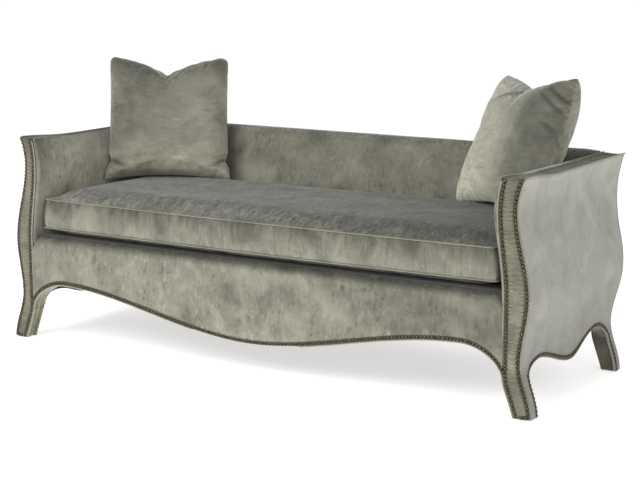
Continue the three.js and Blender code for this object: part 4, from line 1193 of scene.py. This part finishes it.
# The boxing is drawn down from the top's edge in rings
rings = [(seat["seamInset"], seat["weltHigh"])]
for i in range(9):
    z = lerp(seat["weltHigh"] - seat["boxingGaps"][0], seat["weltLow"] + seat["boxingGaps"][1], i / 8)
    rings.append((seat["boxingInset"] - seat["swell"] * math.sin(math.pi * i / 8) ** 0.7, z))
rings += [(seat["seamInset"], seat["weltLow"]), (seat["edgeInset"], seat["weltLow"] - seat["edgeRise"])]
rim = {placeKey(spot(*seatTop(u, v))): (u, v) for u in seatShares for v in seatDepths
       if abs(u) == 1 or abs(v) == 1}
pick(seatPiece)
for vertex in seatPiece.data.vertices:
    vertex.select = placeKey(vertex.co) in rim
for edge in seatPiece.data.edges:
    edge.select = all(seatPiece.data.vertices[i].select for i in edge.vertices)
for polygon in seatPiece.data.polygons:
    polygon.select = False
for ringInset, z in rings:
    edit(lambda: bpy.ops.mesh.select_mode(type="EDGE"), bpy.ops.mesh.extrude_region_move, select="")
    down = share(seat["weltHigh"] - z, 0, seat["weltHigh"] - seat["weltLow"])
    moved = {}
    for vertex in seatPiece.data.vertices:
        if vertex.select:
            u, v = rim[placeKey(vertex.co)]
            vertex.co = spot(*seatPlan(u, v, ringInset, down), z)
            moved[placeKey(vertex.co)] = (u, v)
    rim = moved
weld("seatCushion", seatPiece, seatBase)
print("cushion sewn", len(seatPiece.data.vertices))


# The boxing's pile hangs in dark strokes from its upper seam, and the boxing is darker
# towards the left. Painted shade darkens the underside, and the brushed top towards the right.
def seatPressAndShade(x, y, z):
    if z < seat["weltLow"] - 2:
        return 1
    if z > seat["weltHigh"] + 2:
        sweep = seat["brushed"] * (wander(x / 26, y / 150, 5) + 0.5 * wander(x, y, 7, 70))
        return max(sweep, 0) + seat["lee"] * ease(share(x, *seat["leeReach"]))
    stroke = 0.5 + 1.1 * wander(x / 13, y / 13, z / 90) + 0.25 * wander(x / 60, 3, 0)
    hanging = share(z, *seat["strokeHeights"]) * share(stroke, 0.1, 1) * seat["stroke"]
    return lerp(*seat["darkening"], share(x, *seat["darkeningReach"])) + hanging


paintPressAndShade(seatPiece, seatPressAndShade)
seams = [seat["weltHigh"] / 1000, seat["weltLow"] / 1000]
fillOut(seatPiece, lambda co: min(abs(co.z - s) for s in seams) < 0.0003, seat["fill"])
for vertex in seatPiece.data.vertices:
    vertex.co.z = max(vertex.co.z, seat["under"] / 1000)
smoothOver(seatPiece)
dress(seatPiece, seatVelvet, "seat", "cushion", "seat_cushion")

plan = [(-1, v) for v in seatDepths[::-1]] + [(u, -1) for u in seatShares[1:]]
plan += [(1, v) for v in seatDepths[1:]] + [(u, 1) for u in seatShares[-2:0:-1]]
for name, z in (("low", seat["weltLow"]), ("high", seat["weltHigh"])):
    ring = [spot(*seatPlan(u, v, seat["weltInset"], name == "low"), z) for u, v in plan]
    seatWelt = layWelt("cushionWelt" + name.title(), ring, weltCord["cushion"], True)
    dress(seatWelt, seamVelvet, "welt", "cushion", "cushion_welt_" + name)
print("seat cushion filled")

# Pillows: knife-edged squares, drawn in between their corners and chopped at the top
pillow = {"half": 237, "height": 488, "lift": 20, "cusp": 0.15, "cuspReach": 0.06, "cells": 68,
          "crowding": 1.5,  # how much closer the grid lies at the edges
          "bodyShade": (20, 260), "topShade": 75, "footShade": (8, 16), "leeShade": (-0.4, 0.7),
          # the crease that runs down to the left: its heights and where it ends, then its shade
          "crease": (366, 426), "creaseReach": (-147, -14), "creaseFade": (10, 40),
          "creaseEnd": (-190, -150), "creaseShade": 0.45, "creaseDrop": 14, "creaseWidth": 16, "foldShade": 9,
          "fill": {"stiffness": 10, "bending": 0.3, "pressure": 3.0, "spare": 0.03, "cap": 8}}
# `shade` is how deep the painted shade is over the body, along the top, at the foot and in the lee.
# A fold is (u, v) to (u, v), then its depth and width in millimetres.
pillowPoses = {
    "left": {
        "place": (-716.5, 506, 564.5), "turn": 37, "lean": 17, "roll": 1,
        "notch": 78, "spread": (1.65, 1.65), "shift": -0.03, "ear": 5, "waist": (6, 6), "pinch": 12,
        "flare": (9, 3), "valley": 0.3, "flap": 0, "round": 0.1, "front": 92, "back": 66, "plump": 0.42,
        "shade": (0.36, 0.5, 0.36, 0),
        "folds": [(-0.04, 0.94, -0.16, 0.7, 6, 10), (-0.02, 0.94, 0.12, 0.72, 6, 10),
                  (-1.0, -0.68, -0.6, -0.84, 11, 8), (1.0, -0.66, 0.62, -0.82, 11, 8),
                  (-0.96, 0.1, -0.7, 0.2, 4, 10), (0.96, -0.1, 0.72, 0.02, 4, 10)],
    },
    "right": {
        "place": (670, 508, 575), "turn": -34, "lean": 24, "roll": -2.5,
        "notch": 60, "spread": (1.6, 1.0), "shift": -0.06, "ear": 18, "waist": (12, -16), "pinch": 0,
        "flare": (0, 0), "valley": 0.12, "flap": 16, "round": 0, "front": 76, "back": 88, "plump": 0.47,
        "shade": (0, 0, 0, 0.52),
        "folds": [(-0.06, 0.73, -0.62, 0.48, 10, 9), (0.97, 0.64, 0.5, 0.84, 9, 7),
                  (0.97, 0.48, 0.42, 0.72, 9, 6), (0.98, 0.2, 0.75, 0.3, 4, 8),
                  (-0.3, -0.96, -0.46, -0.74, 4, 8)],
    },
}


def foldDepth(x, z, folds):
    depth = 0
    for u0, v0, u1, v1, deep, wide in folds:
        a = Vector((u0 * pillow["half"], (v0 + 1) / 2 * pillow["height"]))
        b = Vector((u1 * pillow["half"], (v1 + 1) / 2 * pillow["height"]))
        along = share((Vector((x, z)) - a).dot(b - a) / (b - a).length_squared, 0, 1)
        away = (Vector((x, z)) - a.lerp(b, along)).length
        depth += deep * closeness(away, wide) * (1 - along ** 2)
    return depth


def creaseHeight(x):
    return lerp(*pillow["crease"], share(x, *pillow["creaseReach"]))


# A point of a pillow that stands upright at the origin; `side` is -1 in front and 1 behind
def pillowSpot(u, v, side, pose):
    full = ((1 - u ** 4) * (1 - v ** 4)) ** pose["plump"]
    if v > 0:
        u, v = rounded(u, v, 1, 1, max(pose["round"], 1e-6))
    top = (v + 1) / 2
    wide = pillow["half"] - pose["ear"] * top ** 2 - pose["waist"][u > 0] * (1 - v * v)
    wide += pose["flare"][u > 0] * closeness(v + 1, 0.24) - pose["pinch"] * closeness(v + 0.68, 0.09)
    near = min(abs(u - pose["shift"]), 1)
    slope = (1 - near) ** pose["spread"][u > pose["shift"]]
    chop = lerp(slope, math.exp(-near / pillow["cuspReach"]), pillow["cusp"]) * top ** 4
    low = pillow["lift"] * (1 - u * u) * (1 - top) ** 4
    full *= 1 - pose["valley"] * chop
    x, z = u * wide, pillow["height"] * top + low - pose["notch"] * chop
    swell = -pose["front"] * full if side < 0 else pose["back"] * full
    if side < 0:
        bent = pose["flap"] * ease(share(z - creaseHeight(x), -6, 24))
        bent *= share(pose["shift"] - u, 0, 0.1) * ease(share(u + 1, 0.05, 0.4))
        swell += min(foldDepth(x, z, pose["folds"]) + bent, pose["front"] * full)
    return Vector((x, swell, z))


# Painted shade on a pillow, from 0 to 1: over the body, along the top, at the foot, under the crease, in the
# folds and in the lee
def pillowShade(u, place, side, pose):
    body, top, foot, lee = pose["shade"]
    low, high = pillow["footShade"]
    shaded = body * share(place.z, *pillow["bodyShade"])
    shaded += top * closeness(pillow["height"] - place.z, pillow["topShade"])
    shaded += foot * closeness(place.z - low, high) * (1 - u ** 2)
    if pose["flap"]:
        left = share(-place.x, *pillow["creaseFade"]) * share(place.x, *pillow["creaseEnd"])
        under = place.z - creaseHeight(place.x) + pillow["creaseDrop"]
        shaded += pillow["creaseShade"] * closeness(under, pillow["creaseWidth"]) * left
    if side < 0:
        shaded += foldDepth(place.x, place.z, pose["folds"]) / pillow["foldShade"]
        shaded += lee * ease(share(u, *pillow["leeShade"]))
    return min(shaded, 1)


# Cuts the square at each corner in four, or front and back would share a diagonal there
def pokeCorners(case):
    meeting = [0] * len(case.data.vertices)
    for edge in case.data.edges:
        for k in edge.vertices:
            meeting[k] += 1
    pickNone(case, "FACE")
    for polygon in case.data.polygons:
        polygon.select = any(meeting[k] == 2 for k in polygon.vertices)
    edit(bpy.ops.mesh.poke, select="")


cells, crowding = pillow["cells"], pillow["crowding"]
shares = [math.sin(crowding * (2 * i / cells - 1)) / math.sin(crowding) for i in range(cells + 1)]
for name, pose in pillowPoses.items():
    turned = Matrix.Rotation(math.radians(pose["turn"]), 4, "Z")
    turned = turned @ Matrix.Rotation(math.radians(-pose["lean"]), 4, "X")
    turned = Matrix.Translation(spot(*pose["place"])) @ turned
    turned = turned @ Matrix.Rotation(math.radians(pose["roll"]), 4, "Y")
    faces = []
    for side in (-1, 1):
        face = layCover(f"{name}PillowFace{side + 1}", shares, shares, lambda u, v: (0, 0, 0))
        layer = face.data.attributes.new("pressed", "FLOAT", "POINT")
        for k, vertex in enumerate(face.data.vertices):
            u, v = shares[k % len(shares)], shares[k // len(shares)]
            place = pillowSpot(u, v, side, pose)
            vertex.co = turned @ (place / 1000)
            layer.data[k].value = pillowShade(u, place, side, pose)
        faces.append(face)
    rimPlaces = {placeKey(turned @ (pillowSpot(u, v, 1, pose) / 1000))
                 for u in shares for v in shares if abs(u) == 1 or abs(v) == 1}
    case = weld("pillow" + name.title(), *faces)
    fillOut(case, lambda co: placeKey(co) in rimPlaces, pillow["fill"])
    pokeCorners(case)
    smoothOver(case)
    dress(case, pillowVelvets[name], "pillow", "pillow_" + name, "pillow_" + name)
print("pillows filled")

# Dust cover under the seat, its edges folded in and stapled to the rails
dustCover = {"wall": 1.1, "sag": 6, "hem": 14, "fold": 2, "in": 8, "step": 58, "staple": (11, 1.3, 0.8),
             "cornerGaps": (12, 30), "skew": 14, "sagReach": 190, "sagSize": 140, "rumple": 0.4,
             "rumpleSize": 45, "steps": (26, 20), "sink": 0.3}
dustLow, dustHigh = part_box("dust_cover")
dustHalf, dustDeep = (dustHigh.x - dustLow.x) * 500, (dustHigh.y - dustLow.y) * 500
dustFront = (dustLow.y - frontPlane) * 1000
dustHem, dustFold = dustCover["hem"], dustCover["hem"] - dustCover["fold"]


def dustLevel(x, y):
    inward = min(dustHalf - abs(x), dustDeep - abs(y))
    sag = dustCover["sag"] * ease(share(inward, dustHem, dustCover["sagReach"]))
    sag *= 0.85 + 0.3 * wander(x, y, 0, dustCover["sagSize"])
    fold = dustCover["wall"] * (1 - share(inward, dustFold, dustHem))
    rumple = dustCover["rumple"] * (1 + wander(x, y, 9, dustCover["rumpleSize"]))
    return dustHigh.z * 1000 - dustCover["wall"] - fold - sag - rumple


dustColumns, dustRows = (spaced(bothWays([half - dustHem, half - dustFold, half]), step)
                         for half, step in zip((dustHalf, dustDeep), dustCover["steps"]))
dust = layCover("dustCover", dustColumns, dustRows,
                lambda x, y: (x, y + dustFront + dustDeep, dustLevel(x, y)))
turnOver(dust)
thicken(dust, dustCover["wall"], 0)
dress(dust, blackCloth, "dust_cover", "frame", "dust_cover")
deselect()
bpy.ops.mesh.primitive_cube_add(size=1)
stapleModel = bpy.context.object
for vertex in stapleModel.data.vertices:
    vertex.co = Vector([c * size for c, size in zip(vertex.co, dustCover["staple"])]) / 1000
edit(lambda: bpy.ops.mesh.bevel(offset=0.0003, segments=1))
edgeX, edgeY = dustHalf - dustCover["in"], dustDeep - dustCover["in"]
gapX, gapY = dustCover["cornerGaps"]
stapleSpots = [(x, side * edgeY, 0) for side in (-1, 1)
               for x in spaced([gapX - edgeX, edgeX - gapX], dustCover["step"])]
stapleSpots += [(side * edgeX, y, 90) for side in (-1, 1)
                for y in spaced([gapY - edgeY, edgeY - gapY], dustCover["step"])]
staples = []
for x, y, turn in stapleSpots:
    skewed = Matrix.Rotation(math.radians(turn + dustCover["skew"] * wander(x, y, 5, 70)), 4, "Z")
    place = spot(x, y + dustFront + dustDeep, dustLevel(x, y) - dustCover["sink"])
    staples.append(placeCopy(stapleModel, place, skewed))
bpy.data.objects.remove(stapleModel)
dress(joinAll(staples, "dustCoverStaples"), stapleWire, "nails", "frame")
print("dust cover stapled")

# The frame under the covers keeps its shapes
under = {"frame": beechWood, "padding": paleWadding, "webbing": juteWebbing, "dust_cover": blackCloth,
         "glide": darkNylon}
for node in nodes.values():
    for held in node.material_slots:
        for word, material in under.items():
            if held.material and word in held.material.name:
                held.material = material

# Studio: a glowing table and soft boxes in a white surround
studio = {"floor": 30, "glow": 0.61, "floorTone": 0.76, "mottle": 0.02, "surround": 0.52, "seen": 1.05,
          "white": (1, 1, 1, 1), "aim": (0, 0, 0.4),
          "key": 330, "keyPlace": (-0.6, -4.8, 4.4), "keySize": 3.6,
          "fill": 70, "fillPlace": (4.8, -2.4, 2.2), "fillSize": 3.5}
deselect()
bpy.ops.mesh.primitive_plane_add(size=studio["floor"])
floor = bpy.context.object
floor.name = "studioFloor"
floorPaint, tree, shader = newMaterial("floorPaint", 0.8)
mottle = noiseOf(tree, nodeOf(tree, "TexCoord", -1100, 0).outputs["Object"], even, 3, 2, 0, -900, 0)
tones = [(at, [studio["floorTone"] + at * studio["mottle"]] * 3) for at in (0, 1)]
feed(tree, shader, {
    "Base Color": rampOf(tree, mottle, tones, -400, 0),
    "Specular IOR Level": 0,
    "Emission Color": studio["white"],
    "Emission Strength": studio["glow"],
})
floor.data.materials.append(floorPaint)
floor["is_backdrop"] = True


def addLamp(name):
    place = studio[name + "Place"]
    bpy.ops.object.light_add(type="AREA", location=place)
    lamp = bpy.context.object
    lamp.name = name + "Light"
    lamp.data.size = studio[name + "Size"]
    lamp.data.energy = studio[name]
    lamp.rotation_euler = (Vector(studio["aim"]) - Vector(place)).to_track_quat("-Z", "Y").to_euler()


addLamp("key")
addLamp("fill")

# The camera sees the surround whiter than it lights the sofa
sky = bpy.data.worlds.new("studioSky")
sky.use_nodes = True
tree = sky.node_tree
lit = feed(tree, tree.nodes["Background"], {"Strength": studio["surround"], "Color": studio["white"]})
seen = nodeOf(tree, "Background", -200, -200, {"Color": studio["white"], "Strength": studio["seen"]})
path = nodeOf(tree, "LightPath", -200, 300)
both = nodeOf(tree, "MixShader", 100, 0, {
    "Fac": path.outputs["Is Camera Ray"], 1: lit.outputs["Background"], 2: seen.outputs["Background"]})
feed(tree, tree.nodes["World Output"], {"Surface": both.outputs["Shader"]})
bpy.context.scene.world = sky
bpy.context.scene.view_settings.view_transform = "Standard"
print("studio lit")

low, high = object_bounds()
